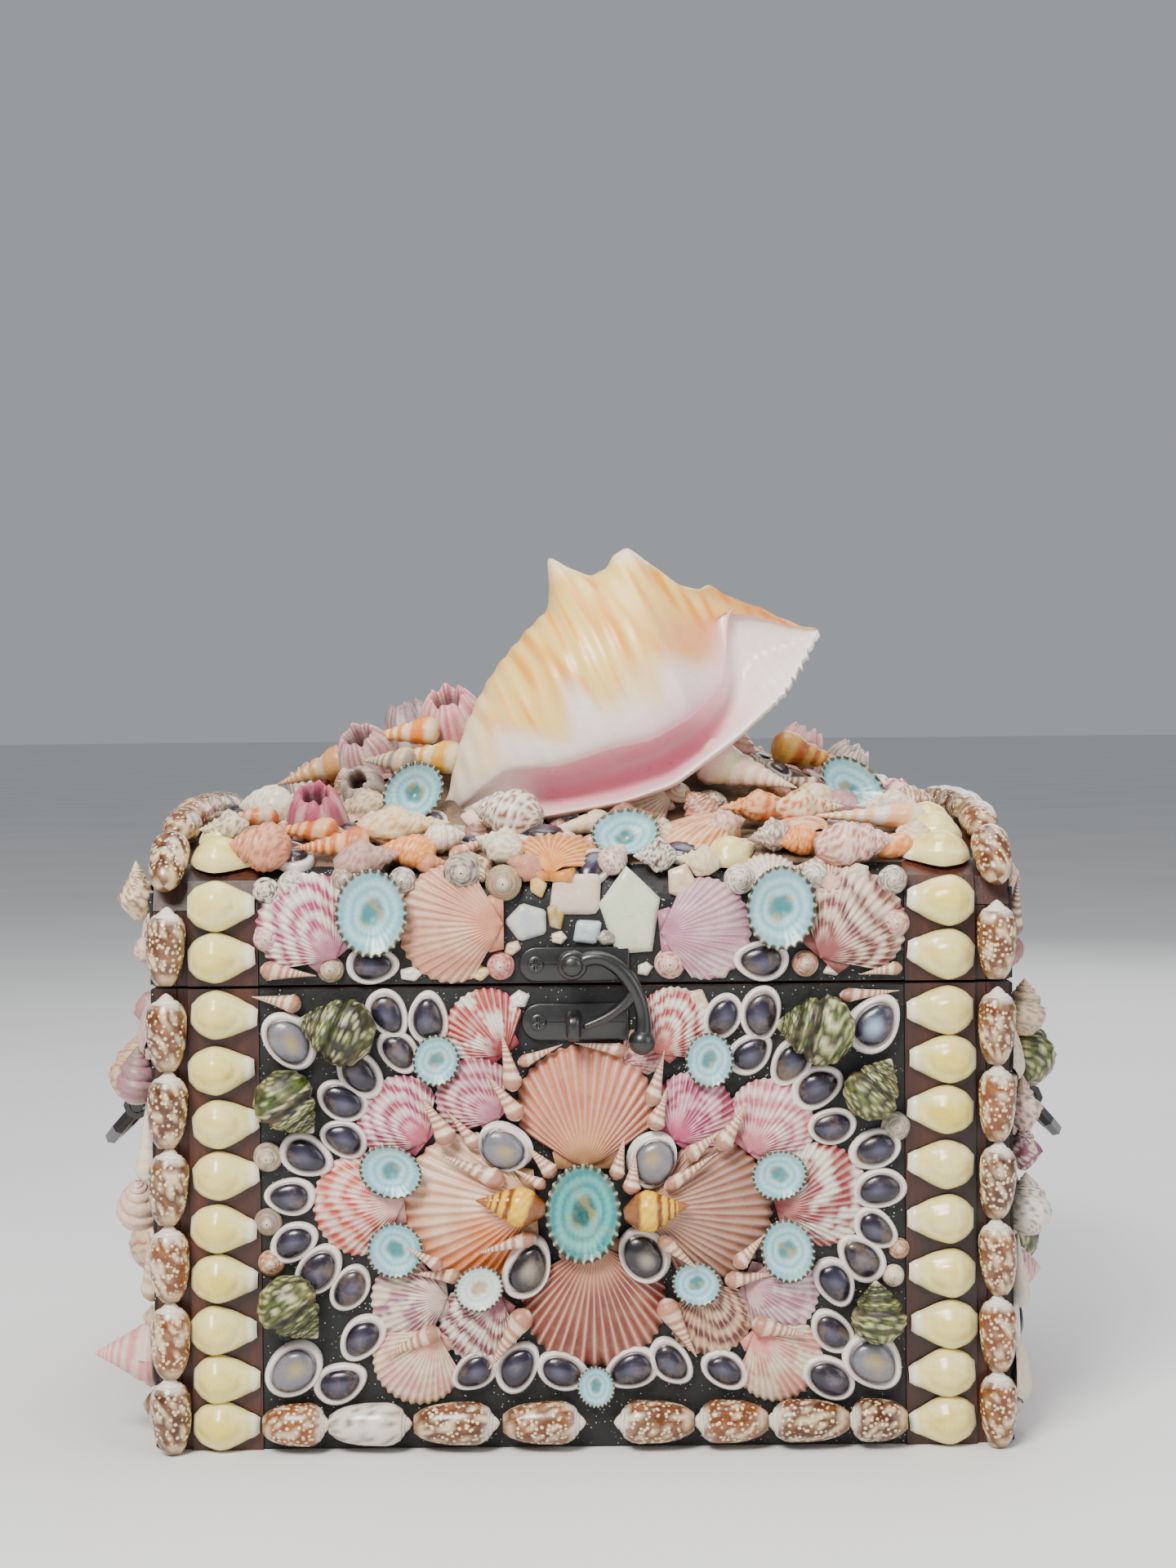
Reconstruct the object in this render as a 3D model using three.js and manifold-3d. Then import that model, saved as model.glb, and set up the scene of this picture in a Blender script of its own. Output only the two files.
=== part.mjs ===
// A small domed wooden chest covered in sea shells: millimetres, +Z up, the front faces -Y.
// The origin is the middle of the underside. The lid turns on two hinges at the back edge.
import * as THREE from "three";
import { ConvexGeometry } from "three/addons/geometries/ConvexGeometry.js";
import { mergeVertices } from "three/addons/utils/BufferGeometryUtils.js";
import Module from "manifold-3d";

const wasm = await Module();
wasm.setup();

// ---------- driving dimensions ----------
const WIDTH = 300; // of the wooden box, along X
const DEPTH = 200; // along Y
const BODY_TOP = 162.6; // rim of the lower box
const LID_BOTTOM = 163.6;
const LID_SHOULDER = 190; // where the lid's straight front ends and its arch begins
const LID_CROWN = 216;
const WALL = 8;
const ARCH_STEPS = 16; // facets of every curve that follows the arch
const ARCH_WALL = 6; // of the bent board that closes the lid
const ARCH_POWER = 2.6; // of the superellipse that the arch follows: 2 is an ellipse, more is squarer
const GAP = 0.3; // left between pieces that touch
const LINING = 1; // thickness of the black lining under the shells
const STRAP = 1.5; // thickness of the brown straps
const PANEL_HALF = 112.8; // half the width of the black panel between the straps
const STRAP_OUTER = 137.8; // the strap's outer edge, beside the olive shells
const SINK = 0.5; // how deep a shell sits in the lining that it is glued to

const HALF_W = WIDTH / 2;
const HALF_D = DEPTH / 2;
const ARCH_RISE = LID_CROWN - LID_SHOULDER;
const PIVOT_Y = HALF_D + 4.6; // the lid's hinge line
const PIVOT_Z = (BODY_TOP + LID_BOTTOM) / 2;
const rad = THREE.MathUtils.degToRad;

// ---------- solids ----------
function solidOf(geometry) {
  const bare = geometry.clone();
  bare.deleteAttribute("normal");
  bare.deleteAttribute("uv");
  const merged = mergeVertices(bare, 1e-4);
  const triVerts = new Uint32Array(merged.index.array);
  const vertProperties = merged.attributes.position.array;
  return new wasm.Manifold(new wasm.Mesh({ numProp: 3, vertProperties, triVerts }));
}

function geometryOf(solid) {
  const mesh = solid.getMesh();
  const places = new Float32Array(mesh.numVert * 3);
  for (let i = 0; i < mesh.numVert; i++)
    places.set(mesh.vertProperties.subarray(i * mesh.numProp, i * mesh.numProp + 3), i * 3);
  const geometry = new THREE.BufferGeometry();
  geometry.setAttribute("position", new THREE.BufferAttribute(places, 3));
  geometry.setIndex(new THREE.BufferAttribute(mesh.triVerts, 1));
  return geometry;
}

const join = (solids) => solids.reduce((all, next) => all.add(next));
const cut = (solid, others) => others.reduce((rest, other) => rest.subtract(other), solid);

function boxBetween(low, high) {
  const size = high.map((value, i) => value - low[i]);
  const centre = high.map((value, i) => (value + low[i]) / 2);
  return solidOf(new THREE.BoxGeometry(...size).translate(...centre));
}

// A cylinder from one point to another.
function rod(from, to, radius, sides = 12) {
  const a = new THREE.Vector3(...from);
  const b = new THREE.Vector3(...to);
  const way = b.clone().sub(a).normalize();
  const turn = new THREE.Quaternion().setFromUnitVectors(new THREE.Vector3(0, 1, 0), way);
  const geometry = new THREE.CylinderGeometry(radius, radius, a.distanceTo(b), sides);
  return solidOf(geometry.applyQuaternion(turn).translate(...a.add(b).multiplyScalar(0.5)));
}

// A bar of even thickness along a path that bends in one plane, whose normal is given.
function bent(path, radius, sides, normal) {
  const flat = new THREE.Vector3(...normal);
  const stops = path.map((place) => new THREE.Vector3(...place));
  const places = [];
  const faces = [];
  stops.forEach((stop, i) => {
    const before = stops[Math.max(i - 1, 0)];
    const after = stops[Math.min(i + 1, stops.length - 1)];
    const side = new THREE.Vector3().crossVectors(after.clone().sub(before).normalize(), flat);
    for (let k = 0; k < sides; k++) {
      const angle = (2 * Math.PI * (k + 0.5)) / sides;
      const place = stop.clone().addScaledVector(flat, radius * Math.cos(angle));
      places.push(...place.addScaledVector(side, radius * Math.sin(angle)).toArray());
    }
  });
  const last = (stops.length - 1) * sides;
  for (let k = 0; k < sides; k++) {
    const next = (k + 1) % sides;
    for (let ring = 0; ring < last; ring += sides) {
      faces.push(ring + k, ring + next, ring + sides + next);
      faces.push(ring + k, ring + sides + next, ring + sides + k);
    }
    if (k > 1) faces.push(0, k, k - 1, last, last + k - 1, last + k);
  }
  const geometry = new THREE.BufferGeometry();
  geometry.setAttribute("position", new THREE.BufferAttribute(new Float32Array(places), 3));
  geometry.setIndex(faces);
  return solidOf(geometry);
}

// A turned form about Z from [radius, height] points that start and end on the axis.
function turned(profile, sides) {
  const points = profile.map(([radius, height]) => new THREE.Vector2(radius, height));
  return new THREE.LatheGeometry(points, sides).rotateX(Math.PI / 2);
}

// ---------- faces that shells are glued to: local x right, y up, z out of the face ----------
function basis(xAxis, yAxis, zAxis, origin) {
  const matrix = new THREE.Matrix4().makeBasis(
    new THREE.Vector3(...xAxis),
    new THREE.Vector3(...yAxis),
    new THREE.Vector3(...zAxis),
  );
  return matrix.setPosition(...origin);
}

const FACE_LIFT = GAP + LINING;
const FRONT = basis([1, 0, 0], [0, 0, 1], [0, -1, 0], [0, -HALF_D - FACE_LIFT, 0]);
const BACK = basis([-1, 0, 0], [0, 0, 1], [0, 1, 0], [0, HALF_D + FACE_LIFT, 0]);
const RIGHT = basis([0, 1, 0], [0, 0, 1], [1, 0, 0], [HALF_W + FACE_LIFT, 0, 0]);
const LEFT = basis([0, -1, 0], [0, 0, 1], [-1, 0, 0], [-HALF_W - FACE_LIFT, 0, 0]);

// ---------- the lid's outer profile, front to back, in (y, z) ----------
const power = (value) => Math.sign(value) * Math.abs(value) ** (2 / ARCH_POWER);
const archPoint = (angle, halfDepth, rise) => [
  -halfDepth * power(Math.cos(angle)),
  LID_SHOULDER + rise * power(Math.sin(angle)),
];

function archOutline(halfDepth, rise, steps = ARCH_STEPS) {
  const places = [];
  for (let i = 0; i <= steps; i++) {
    const share = i / steps;
    const eased = share + 0.07 * Math.sin(2 * Math.PI * share); // spreads the points evenly along the arch
    places.push(archPoint(Math.PI * eased, halfDepth, rise));
  }
  places[0] = [-halfDepth, LID_SHOULDER];
  places[steps] = [halfDepth, LID_SHOULDER];
  return places;
}

const lidOutline = [[-HALF_D, LID_BOTTOM], ...archOutline(HALF_D, ARCH_RISE, 96), [HALF_D, LID_BOTTOM]];

// The place at a distance along the lid's outline, from its front lower edge.
function alongLid(distance) {
  let left = distance;
  for (let i = 1; i < lidOutline.length; i++) {
    const [y0, z0] = lidOutline[i - 1];
    const [y1, z1] = lidOutline[i];
    const step = Math.hypot(y1 - y0, z1 - z0);
    if (left <= step || i === lidOutline.length - 1) {
      const share = Math.min(left / step, 1);
      return { y: y0 + (y1 - y0) * share, z: z0 + (z1 - z0) * share };
    }
    left -= step;
  }
}

// A face at a distance along the lid's outline, whose y runs along the outline and z points out.
function lidFace(distance, reach = 9) {
  const here = alongLid(distance);
  const before = alongLid(Math.max(distance - reach, 0));
  const after = alongLid(distance + reach);
  const run = [after.y - before.y, after.z - before.z];
  const length = Math.hypot(...run);
  const [uy, uz] = run.map((value) => value / length);
  const out = FACE_LIFT;
  return basis([1, 0, 0], [0, uy, uz], [0, -uz, uy], [0, here.y - uz * out, here.z + uy * out]);
}

// The height of the lid's top at a depth y.
function lidTop(y) {
  const out = Math.min(Math.abs(y) / HALF_D, 1);
  return LID_SHOULDER + ARCH_RISE * (1 - out ** ARCH_POWER) ** (1 / ARCH_POWER);
}

// ---------- shells, each lying along local x on the plane z = 0 ----------
// Each form takes its length; some take their width too, as a share of it.
const SHELL_SIDES = 6;
const FAN_STEPS = 4;
const forms = {
  // A whole cowrie, domed, a little wider behind its middle.
  cowrie: (length, wide = 0.78) =>
    turned([[0, 0], [1, 0], [0.93, 0.45], [0, 1]], SHELL_SIDES)
      .scale(length / 2, (length * wide) / 2, length * 0.4),
  // A cowrie ground open on top: the dark dome shows inside a white rim.
  ringtop: (length) =>
    turned([[0, 0], [1, 0], [0.82, 0.64], [0, 1]], SHELL_SIDES)
      .scale(length / 2, length * 0.36, length * 0.34),
  // An olive shell: barrel shaped, with a short spire at +x.
  olive: (length, wide = 0.5) =>
    turned([[0, -0.5], [0.48, -0.26], [0.44, 0.22], [0, 0.5]], SHELL_SIDES)
      .rotateY(Math.PI / 2)
      .scale(length, length * wide * 1.06, length * wide)
      .translate(0, 0, length * wide * 0.42),
  // A slender turret, its point at +x.
  auger: (length, wide = 0.3) =>
    turned([[0, -0.5], [0.5, -0.36], [0, 0.5]], 5)
      .rotateY(Math.PI / 2)
      .scale(length, length * wide, length * wide)
      .translate(0, 0, length * wide * 0.42),
  // A stout mitre, its point at +x.
  mitre: (length) => forms.auger(length, 0.56),
  // A turban: a fat last whorl and a low stepped spire at +x.
  turban: (length) =>
    turned([[0, -0.46], [0.5, -0.14], [0.33, 0.16], [0, 0.5]], 7)
      .rotateY(Math.PI / 2)
      .scale(length, length * 0.86, length * 0.74)
      .translate(0, 0, length * 0.33),
  // A round snail or top seen on its point, and a spiky drupe.
  snail: (length) =>
    turned([[0, 0], [0.5, 0.08], [0.32, 0.4], [0, 0.62]], SHELL_SIDES)
      .scale(length, length * 0.92, length),
  // A limpet glued on its point, so that it shows its hollow.
  limpet: (length, wide = 0.82) =>
    turned([[0, 0], [0.5, 0], [1, 1], [0.3, 0.42], [0, 0.38]], SHELL_SIDES)
      .scale(length / 2, (length * wide) / 2, length * 0.24),
  // A scallop valve, hinge at -x, fan edge at +x.
  scallop: (length) => {
    const rise = length * 0.17;
    const points = [];
    for (let i = 0; i <= FAN_STEPS; i++) {
      const angle = rad(-96 + (192 * i) / FAN_STEPS);
      const [c, s] = [Math.cos(angle), Math.sin(angle)];
      points.push(new THREE.Vector3(length * (0.06 + 0.44 * c), length * 0.5 * s, 0));
      points.push(new THREE.Vector3(length * (-0.02 + 0.3 * c), length * 0.32 * s, rise * 0.78));
    }
    for (const side of [-1, 1]) points.push(new THREE.Vector3(-0.5 * length, side * length * 0.17, 0));
    points.push(new THREE.Vector3(-0.1 * length, 0, rise), new THREE.Vector3(-0.44 * length, 0, rise * 0.5));
    return new ConvexGeometry(points);
  },
  // An acorn barnacle: a ribbed cone with an open mouth.
  barnacle: (length) =>
    turned([[0, 0], [0.5, 0.1], [0.35, 0.95], [0.2, 0.45], [0, 0.42]], SHELL_SIDES)
      .scale(length, length, length),
};

// One shell set on a face. place is [x, y, length, turn in degrees, lift, tilt], tilt raising its +x end.
function shellOn(face, kind, [x, y, length, turn = 0, lift = 0, tilt = 0], wide = undefined) {
  const geometry = forms[kind](length, wide);
  const pose = new THREE.Matrix4()
    .makeTranslation(x, y, lift - SINK)
    .multiply(new THREE.Matrix4().makeRotationZ(rad(turn)))
    .multiply(new THREE.Matrix4().makeRotationY(rad(-tilt)));
  return solidOf(geometry.applyMatrix4(pose).applyMatrix4(face));
}

// All the shells of a layout { kind: [places] } on one face.
function shellsOn(face, layout) {
  return Object.entries(layout).flatMap(([kind, places]) =>
    places.map((place) => shellOn(face, kind, place)),
  );
}

// ---------- the front picture: [x, height, length, turn, lift] ----------
const FRONT_SHELLS = {
  scallop: [
    [0, 121, 44, 90], [2, 49, 47, -90], [-41, 85.5, 46, 184], [45, 84, 43, -4],
    [-36, 149, 25, 100], [-40, 124, 26, 130], [-66, 117.5, 26, 128], [-79, 86, 32, 184],
    [-63, 52, 27, 196], [-38, 45, 26, -110], [-59.5, 31, 29, -115],
    [31, 149, 26, 60], [39, 120.5, 25, 60], [65, 116, 26, 60], [82.5, 89.5, 32, 8],
    [69, 54, 27, -30], [45, 46.5, 26, -65], [67.5, 32.5, 29, -65],
  ],
  limpet: [
    [-1, 86, 34, 90], [-52.5, 137, 18, 90], [-67.5, 99, 22.5, -15], [-66.5, 71.5, 21, 80],
    [-37, 59, 17, 25], [4, 24, 14.5, 90], [43, 137.5, 19.5, 90], [67.5, 98, 19, 30],
    [70, 70.5, 22, 110], [39, 60.5, 17.5, -10],
  ],
  ringtop: [
    [-69, 153.5, 16, 112], [-55, 152, 15.5, 92], [-64.5, 139.5, 16, 118], [-79, 133, 16.5, -48],
    [-84.5, 122.5, 18, -18], [-84.5, 109.5, 18, -22], [-97.5, 103, 19.5, -16], [-102, 88.5, 19, 2],
    [-101.5, 73.5, 20, 30], [-94.5, 63.5, 18, 52], [-82, 58, 18.5, 62], [-78.5, 40, 18.5, 50],
    [-85.5, 27, 19, 24], [-39, 29, 16.5, 40], [-23.5, 31, 18, 80], [-8.5, 28, 17, -35],
    [16, 29, 16, 15], [30.5, 32, 19.5, -52], [48, 29.5, 19.5, -30], [86, 27.5, 19, -36],
    [86, 43, 20, -42], [87.5, 59, 18.5, -60], [96.5, 68, 18, -52], [103, 77, 18, -42],
    [103, 90.5, 18, 8], [102, 105.5, 18.5, 18], [86, 113.5, 20, 4], [81.5, 127.5, 18.5, 28],
    [71.5, 135.5, 17, 42], [57.5, 139.5, 16.5, 38], [48, 151.5, 16.5, 64], [61, 153, 16.5, 96],
  ],
  cowrie: [
    [-101.5, 143, 23, -48], [-101.5, 32, 22, 50], [102.5, 149, 23, 62], [101, 32.5, 23, -36],
    [-26.5, 107.5, 20, -35], [23.5, 103.5, 20, 60], [-20, 65, 22, 70], [21, 68.5, 21, -52],
  ],
  turban: [
    [-86, 147.5, 27, 160], [-101.5, 122, 25, -48], [-101, 51, 24, -48], [80, 148, 27, 176],
    [101.5, 128, 22, 60], [102, 50.5, 21, 100],
  ],
  mitre: [[-25, 87, 25, 172], [25, 86.5, 23, 6]],
  auger: [
    [-103, 157, 19, 172], [98, 158.5, 21, 10], [-50.5, 117, 20, 124], [-26.5, 136.5, 21, 103],
    [-28.5, 123.5, 19, 124], [24, 131, 20, 69], [51, 114, 20, 56], [-38.5, 100.5, 24, 154],
    [36.5, 99, 24, 34], [-27.5, 74, 22, 196], [32, 70.5, 20, -38], [-26.5, 42, 25, 239],
    [32.5, 45, 26, -56], [-58.5, 43, 18, 206], [67.5, 44, 21, -10],
  ],
  snail: [[106.5, 64, 9]],
  olive: [
    [-101, 11.2, 23, 0], [-75, 11.2, 30, 0], [-44.8, 11.2, 30, 0], [-14.8, 11.2, 29, 0],
    [24.1, 11.2, 28, 180], [50.8, 11.2, 27, 180], [77.6, 11.2, 30, 180], [102, 11.2, 21, 180],
  ],
};

// The lid's straight front band, with heights above the underside.
const LID_FRONT_SHELLS = {
  scallop: [[-96, 184.5, 33, 135], [-46.5, 183, 36, 180], [42.5, 182.5, 31, 2], [93, 185.5, 34, 50]],
  limpet: [[-74.5, 188.5, 29, 90], [68, 190, 28, 90]],
  ringtop: [[-74, 171, 19.5, 0], [61.5, 171.5, 19.5, 0]],
  auger: [[-100, 168, 23, -3], [101, 168, 20, 189]],
  snail: [
    [-89.5, 169.5, 10], [-29.5, 171, 10], [77, 170, 9.5], [30.5, 171, 10.5],
  ],
};

// ---------- wood ----------
function bodyBoards() {
  const inner = HALF_W - WALL - GAP;
  return {
    bottom_board: boxBetween([-inner, -HALF_D + WALL + GAP, 0], [inner, HALF_D - WALL - GAP, WALL]),
    front_board: boxBetween([-inner, -HALF_D, 0], [inner, -HALF_D + WALL, BODY_TOP]),
    back_board: boxBetween([-inner, HALF_D - WALL, 0], [inner, HALF_D, BODY_TOP]),
    left_board: boxBetween([-HALF_W, -HALF_D, 0], [-HALF_W + WALL, HALF_D, BODY_TOP]),
    right_board: boxBetween([HALF_W - WALL, -HALF_D, 0], [HALF_W, HALF_D, BODY_TOP]),
  };
}

// A (y, z) outline made solid between two x.
function slabOf(outline, fromX, toX) {
  const shape = new THREE.Shape(outline.map(([y, z]) => new THREE.Vector2(y, z)));
  const geometry = new THREE.ExtrudeGeometry(shape, { depth: toX - fromX, bevelEnabled: false });
  return solidOf(geometry.applyMatrix4(basis([0, 1, 0], [0, 0, 1], [1, 0, 0], [fromX, 0, 0])));
}

// The band between the lid's outline moved out by two distances, between two x.
function lidBand(inside, outside, fromX, toX) {
  const outline = (by) => [
    [-HALF_D - by, LID_BOTTOM],
    ...archOutline(HALF_D + by, ARCH_RISE + by),
    [HALF_D + by, LID_BOTTOM],
  ];
  return slabOf([...outline(outside), ...outline(inside).reverse()], fromX, toX);
}

function lidBoards() {
  const inner = HALF_W - WALL - GAP;
  const railTop = LID_SHOULDER - GAP;
  const innerArch = archOutline(HALF_D - ARCH_WALL, ARCH_RISE - ARCH_WALL);
  const endOutline = [
    [-HALF_D, LID_BOTTOM], [-HALF_D, railTop],
    ...archOutline(HALF_D - ARCH_WALL - GAP, ARCH_RISE - ARCH_WALL - GAP),
    [HALF_D, railTop], [HALF_D, LID_BOTTOM],
  ];
  return {
    lid_front_rail: boxBetween([-inner, -HALF_D, LID_BOTTOM], [inner, -HALF_D + WALL, railTop]),
    lid_back_rail: boxBetween([-inner, HALF_D - WALL, LID_BOTTOM], [inner, HALF_D, railTop]),
    lid_left_end: slabOf(endOutline, -HALF_W, -HALF_W + WALL),
    lid_right_end: slabOf(endOutline, HALF_W - WALL, HALF_W),
    lid_top_board: slabOf([...archOutline(HALF_D, ARCH_RISE), ...innerArch.reverse()], -HALF_W, HALF_W),
  };
}

function straps() {
  const made = {};
  for (const [side, name] of [[-1, "left"], [1, "right"]]) {
    const [fromX, toX] = [side * (PANEL_HALF + GAP), side * STRAP_OUTER].sort((a, b) => a - b);
    const out = HALF_D + GAP;
    made[`front_${name}_strap`] = boxBetween([fromX, -out - STRAP, 0], [toX, -out, BODY_TOP]);
    made[`back_${name}_strap`] = boxBetween([fromX, out, 0], [toX, out + STRAP, BODY_TOP]);
    made[`lid_${name}_strap`] = lidBand(GAP, GAP + STRAP, fromX, toX);
  }
  return made;
}

// ---------- columns of cowries and olives at both ends ----------
const COWRIE_X = 125.6;
const COWRIE_PITCH = 18;
const COWRIE_LONG = 23.6;
const OLIVE_X = 144.6;
const OLIVE_PITCH = 26.9;
const OLIVE_LONG = 27.9;
const BODY_COWRIES = 9;
const BODY_OLIVES = 6;
const LID_COWRIES = { left: 4, right: 5 };
const LID_OLIVES = 8;
const COWRIE_LIFT = STRAP + GAP - LINING + SINK; // seats a cowrie just clear of the strap
const OLIVE_LIFT = SINK - LINING; // seats an olive just clear of the wood
const BED = 0.9; // thickness of the glue that holds a column together

const raised = (face, height) => face.clone().multiply(new THREE.Matrix4().makeTranslation(0, height, 0));
const count = (n) => [...Array(n).keys()];

// What a column of cowries or of olives shares wherever it stands.
function columnOf(kind, side) {
  const cowries = kind === "cowrie";
  const turn = cowries ? (side < 0 ? 180 : 0) : 90;
  return cowries
    ? { x: COWRIE_X, pitch: COWRIE_PITCH, length: COWRIE_LONG, turn, lift: COWRIE_LIFT }
    : { x: OLIVE_X, pitch: OLIVE_PITCH, length: OLIVE_LONG, turn, lift: OLIVE_LIFT };
}

function frontColumn(kind, side) {
  const cowries = kind === "cowrie";
  const { x, pitch, length, turn, lift } = columnOf(kind, side);
  const first = cowries ? 9.4 : 14;
  const many = cowries ? BODY_COWRIES : BODY_OLIVES;
  const faces = count(many).map((i) => raised(FRONT, first + pitch * i));
  return join(
    faces.map((face) => shellOn(face, kind, [side * x, 0, length, turn, lift], cowries ? 0.79 : 0.48)),
  );
}

function lidColumn(kind, side, name) {
  const cowries = kind === "cowrie";
  const { x, pitch, length, turn, lift } = columnOf(kind, side);
  const many = cowries ? LID_COWRIES[name] : LID_OLIVES;
  const faces = count(many).map((i) => lidFace((cowries ? 10 : 14.6) + pitch * i));
  const near = cowries ? 2 * GAP + STRAP : GAP;
  const half = cowries ? COWRIE_LONG / 2 : HALF_W - OLIVE_X;
  const last = new THREE.Vector3().setFromMatrixPosition(faces.at(-1));
  const reach = boxBetween([-WIDTH, -DEPTH, 0], [WIDTH, cowries ? last.y : DEPTH, DEPTH * 2]);
  const bed = lidBand(near, near + BED, side * x - half, side * x + half).intersect(reach);
  const shells = faces.map((face) =>
    shellOn(face, kind, [side * x, 0, length, turn, lift], cowries ? 0.84 : 0.48),
  );
  return join([bed, ...shells]);
}

// ---------- the heap of shells on the lid ----------
const HEAP = { x: 0, y: 6, z: 194, halfX: 128, halfY: 76, rise: 56 };
const HEAP_CLEAR = 2 * GAP + STRAP;

// The heap's glued core is an ellipsoid; a face on it, or on the lid outside it, carries each shell.
function heapTop(x, y) {
  const inside = 1 - ((x - HEAP.x) / HEAP.halfX) ** 2 - ((y - HEAP.y) / HEAP.halfY) ** 2;
  return Math.max(inside > 0 ? HEAP.z + HEAP.rise * Math.sqrt(inside) : 0, lidTop(y) + HEAP_CLEAR);
}

function heapFace(x, y) {
  const step = 6;
  const slopeX = (heapTop(x + step, y) - heapTop(x - step, y)) / (2 * step);
  const slopeY = (heapTop(x, y + step) - heapTop(x, y - step)) / (2 * step);
  const out = new THREE.Vector3(-slopeX, -slopeY, 1).normalize();
  const across = new THREE.Vector3(1, 0, slopeX).normalize();
  const upward = new THREE.Vector3().crossVectors(out, across);
  return basis(across.toArray(), upward.toArray(), out.toArray(), [x, y, heapTop(x, y)]);
}

// [x, y, length, turn, lift, tilt]: x and y are seen from above.
const HEAP_SHELLS = {
  barnacle: [
    [-80, 2, 24, 0, -2], [-48, 6, 28, 20, -2], [-96, -32, 26, 10, -3], [84, 30, 22, 0, -1],
    [100, 16, 20, 30, -2], [-24, 42, 26, 0, 0], [24, 60, 26, 0, 0],
  ],
  mitre: [[-98, 8, 34, 158, 2], [62, -32, 38, 8, 3], [86, 0, 34, 14, 2], [-58, -14, 32, 160, 0]],
  turban: [
    [-27, -62, 30, 150, 0], [-113, -78, 24, 170, 0], [112, -4, 31, 20, 2], [-88, -84, 26, 188, 0],
    [97, -82, 28, 10, 1], [-76, 46, 30, 100, 0], [82, 56, 30, 60, 0],
  ],
  limpet: [[-58, -38, 25, 20, 2, -20], [16, -76, 24, 10, 3], [98, -22, 29, -12, 4, 14]],
  scallop: [[-9, -86, 31, 100, 0], [41, -78, 29, 20, 0], [-63, -76, 30, 170, 0], [78, -60, 26, 30, 0]],
  snail: [[-31, -88, 17, 0, 0], [72, -88, 15, 0, 0], [-120, -26, 18, 0, 0], [118, -30, 18, 0, 0]],
  auger: [[-100, -66, 28, 172, 0], [104, -62, 32, 176, 0]],
  cowrie: [[54, -84, 20, 45, 0], [26, -92, 17, 0, 0]],
};

const heapShells = () =>
  Object.entries(HEAP_SHELLS).flatMap(([kind, places]) =>
    places.map(([x, y, ...rest]) => shellOn(heapFace(x, y), kind, [0, 0, ...rest])),
  );

function heapCore() {
  const arc = count(5).map((i) => rad(22.5 * i)).map((a) => [Math.cos(a), Math.sin(a)]);
  arc[4][0] = 0;
  const dome = turned([[0, 0], ...arc], 12)
    .scale(HEAP.halfX, HEAP.halfY, HEAP.rise)
    .translate(HEAP.x, HEAP.y, HEAP.z);
  return solidOf(dome);
}

// The shelf of glue over the lid's lining, out to the columns behind their last cowries.
function heapBed() {
  const band = lidBand(HEAP_CLEAR, HEAP_CLEAR + 2, -136, 136);
  const middle = boxBetween([-112, -93, LID_SHOULDER], [112, 88, DEPTH * 2]);
  const ends = boxBetween([-136, -26, LID_SHOULDER], [136, 88, DEPTH * 2]);
  return band.intersect(middle.add(ends));
}

function largest(solid) {
  const pieces = solid.decompose();
  return pieces.sort((a, b) => b.volume() - a.volume())[0];
}

// Everything under this solid is the lid itself.
function underHeap() {
  const by = HEAP_CLEAR;
  const outline = archOutline(HALF_D + by, ARCH_RISE + by);
  return slabOf([[-HALF_D - by, 0], ...outline, [HALF_D + by, 0]], -WIDTH, WIDTH);
}

// ---------- the great horned conch, lying on the heap ----------
// Stations along its axis from the siphon's tip: [along, lower edge, upper edge].
// Horns: [along, start, length, lean, base radius], standing on the shoulder of the last whorl.
const CONCH_STATIONS = [
  [0, -4, 4], [16, -9, 24], [34, -15, 38], [60, -23, 53],
  [86, -26, 56], [108, -21, 47], [128, -15, 26], [144, -8, 12],
];
const CONCH_TAIL = [-50, -34, 222];
const CONCH_RISE = 26; // degrees that its axis climbs to the right
const CONCH_DEPTH = 0.94; // of its height, from front to back
const CONCH_HORNS = [[74, 38, 31, -10, 13], [98, 34, 31, 36, 13], [106, 20, 30, 80, 12]];
const CONCH_SIDES = 10;

function conchPose() {
  return new THREE.Matrix4()
    .makeTranslation(...CONCH_TAIL)
    .multiply(new THREE.Matrix4().makeRotationY(rad(-CONCH_RISE)));
}

// `grow` makes it larger all round, as the cutter that clears a neighbour of it.
function conchSolid(grow = 0) {
  const places = [];
  const faces = [];
  for (const [along, low, high] of CONCH_STATIONS)
    for (let i = 0; i < CONCH_SIDES; i++) {
      const angle = (2 * Math.PI * i) / CONCH_SIDES;
      const half = (high - low) / 2 + grow;
      places.push(along, half * CONCH_DEPTH * Math.cos(angle), (high + low) / 2 + half * Math.sin(angle));
    }
  const last = (CONCH_STATIONS.length - 1) * CONCH_SIDES;
  const tail = places.length / 3;
  places.push(-4 - grow, 0, 0, CONCH_STATIONS.at(-1)[0] + 11 + grow, 0, 1);
  for (let i = 0; i < CONCH_SIDES; i++) {
    const next = (i + 1) % CONCH_SIDES;
    for (let ring = 0; ring < last; ring += CONCH_SIDES) {
      const above = ring + CONCH_SIDES;
      faces.push(ring + i, ring + next, above + i, ring + next, above + next, above + i);
    }
    faces.push(tail, next, i, tail + 1, last + i, last + next);
  }
  const geometry = new THREE.BufferGeometry();
  geometry.setAttribute("position", new THREE.BufferAttribute(new Float32Array(places), 3));
  geometry.setIndex(faces);
  const horns = CONCH_HORNS.map(([along, start, length, lean, foot]) =>
    new THREE.CylinderGeometry(3 + grow, foot + grow, length, 6)
      .rotateX(Math.PI / 2)
      .translate(0, 0, length / 2)
      .rotateY(rad(lean))
      .translate(along, 0, start),
  );
  const pose = conchPose();
  return join([geometry, ...horns].map((part) => solidOf(part.applyMatrix4(pose))));
}

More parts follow.
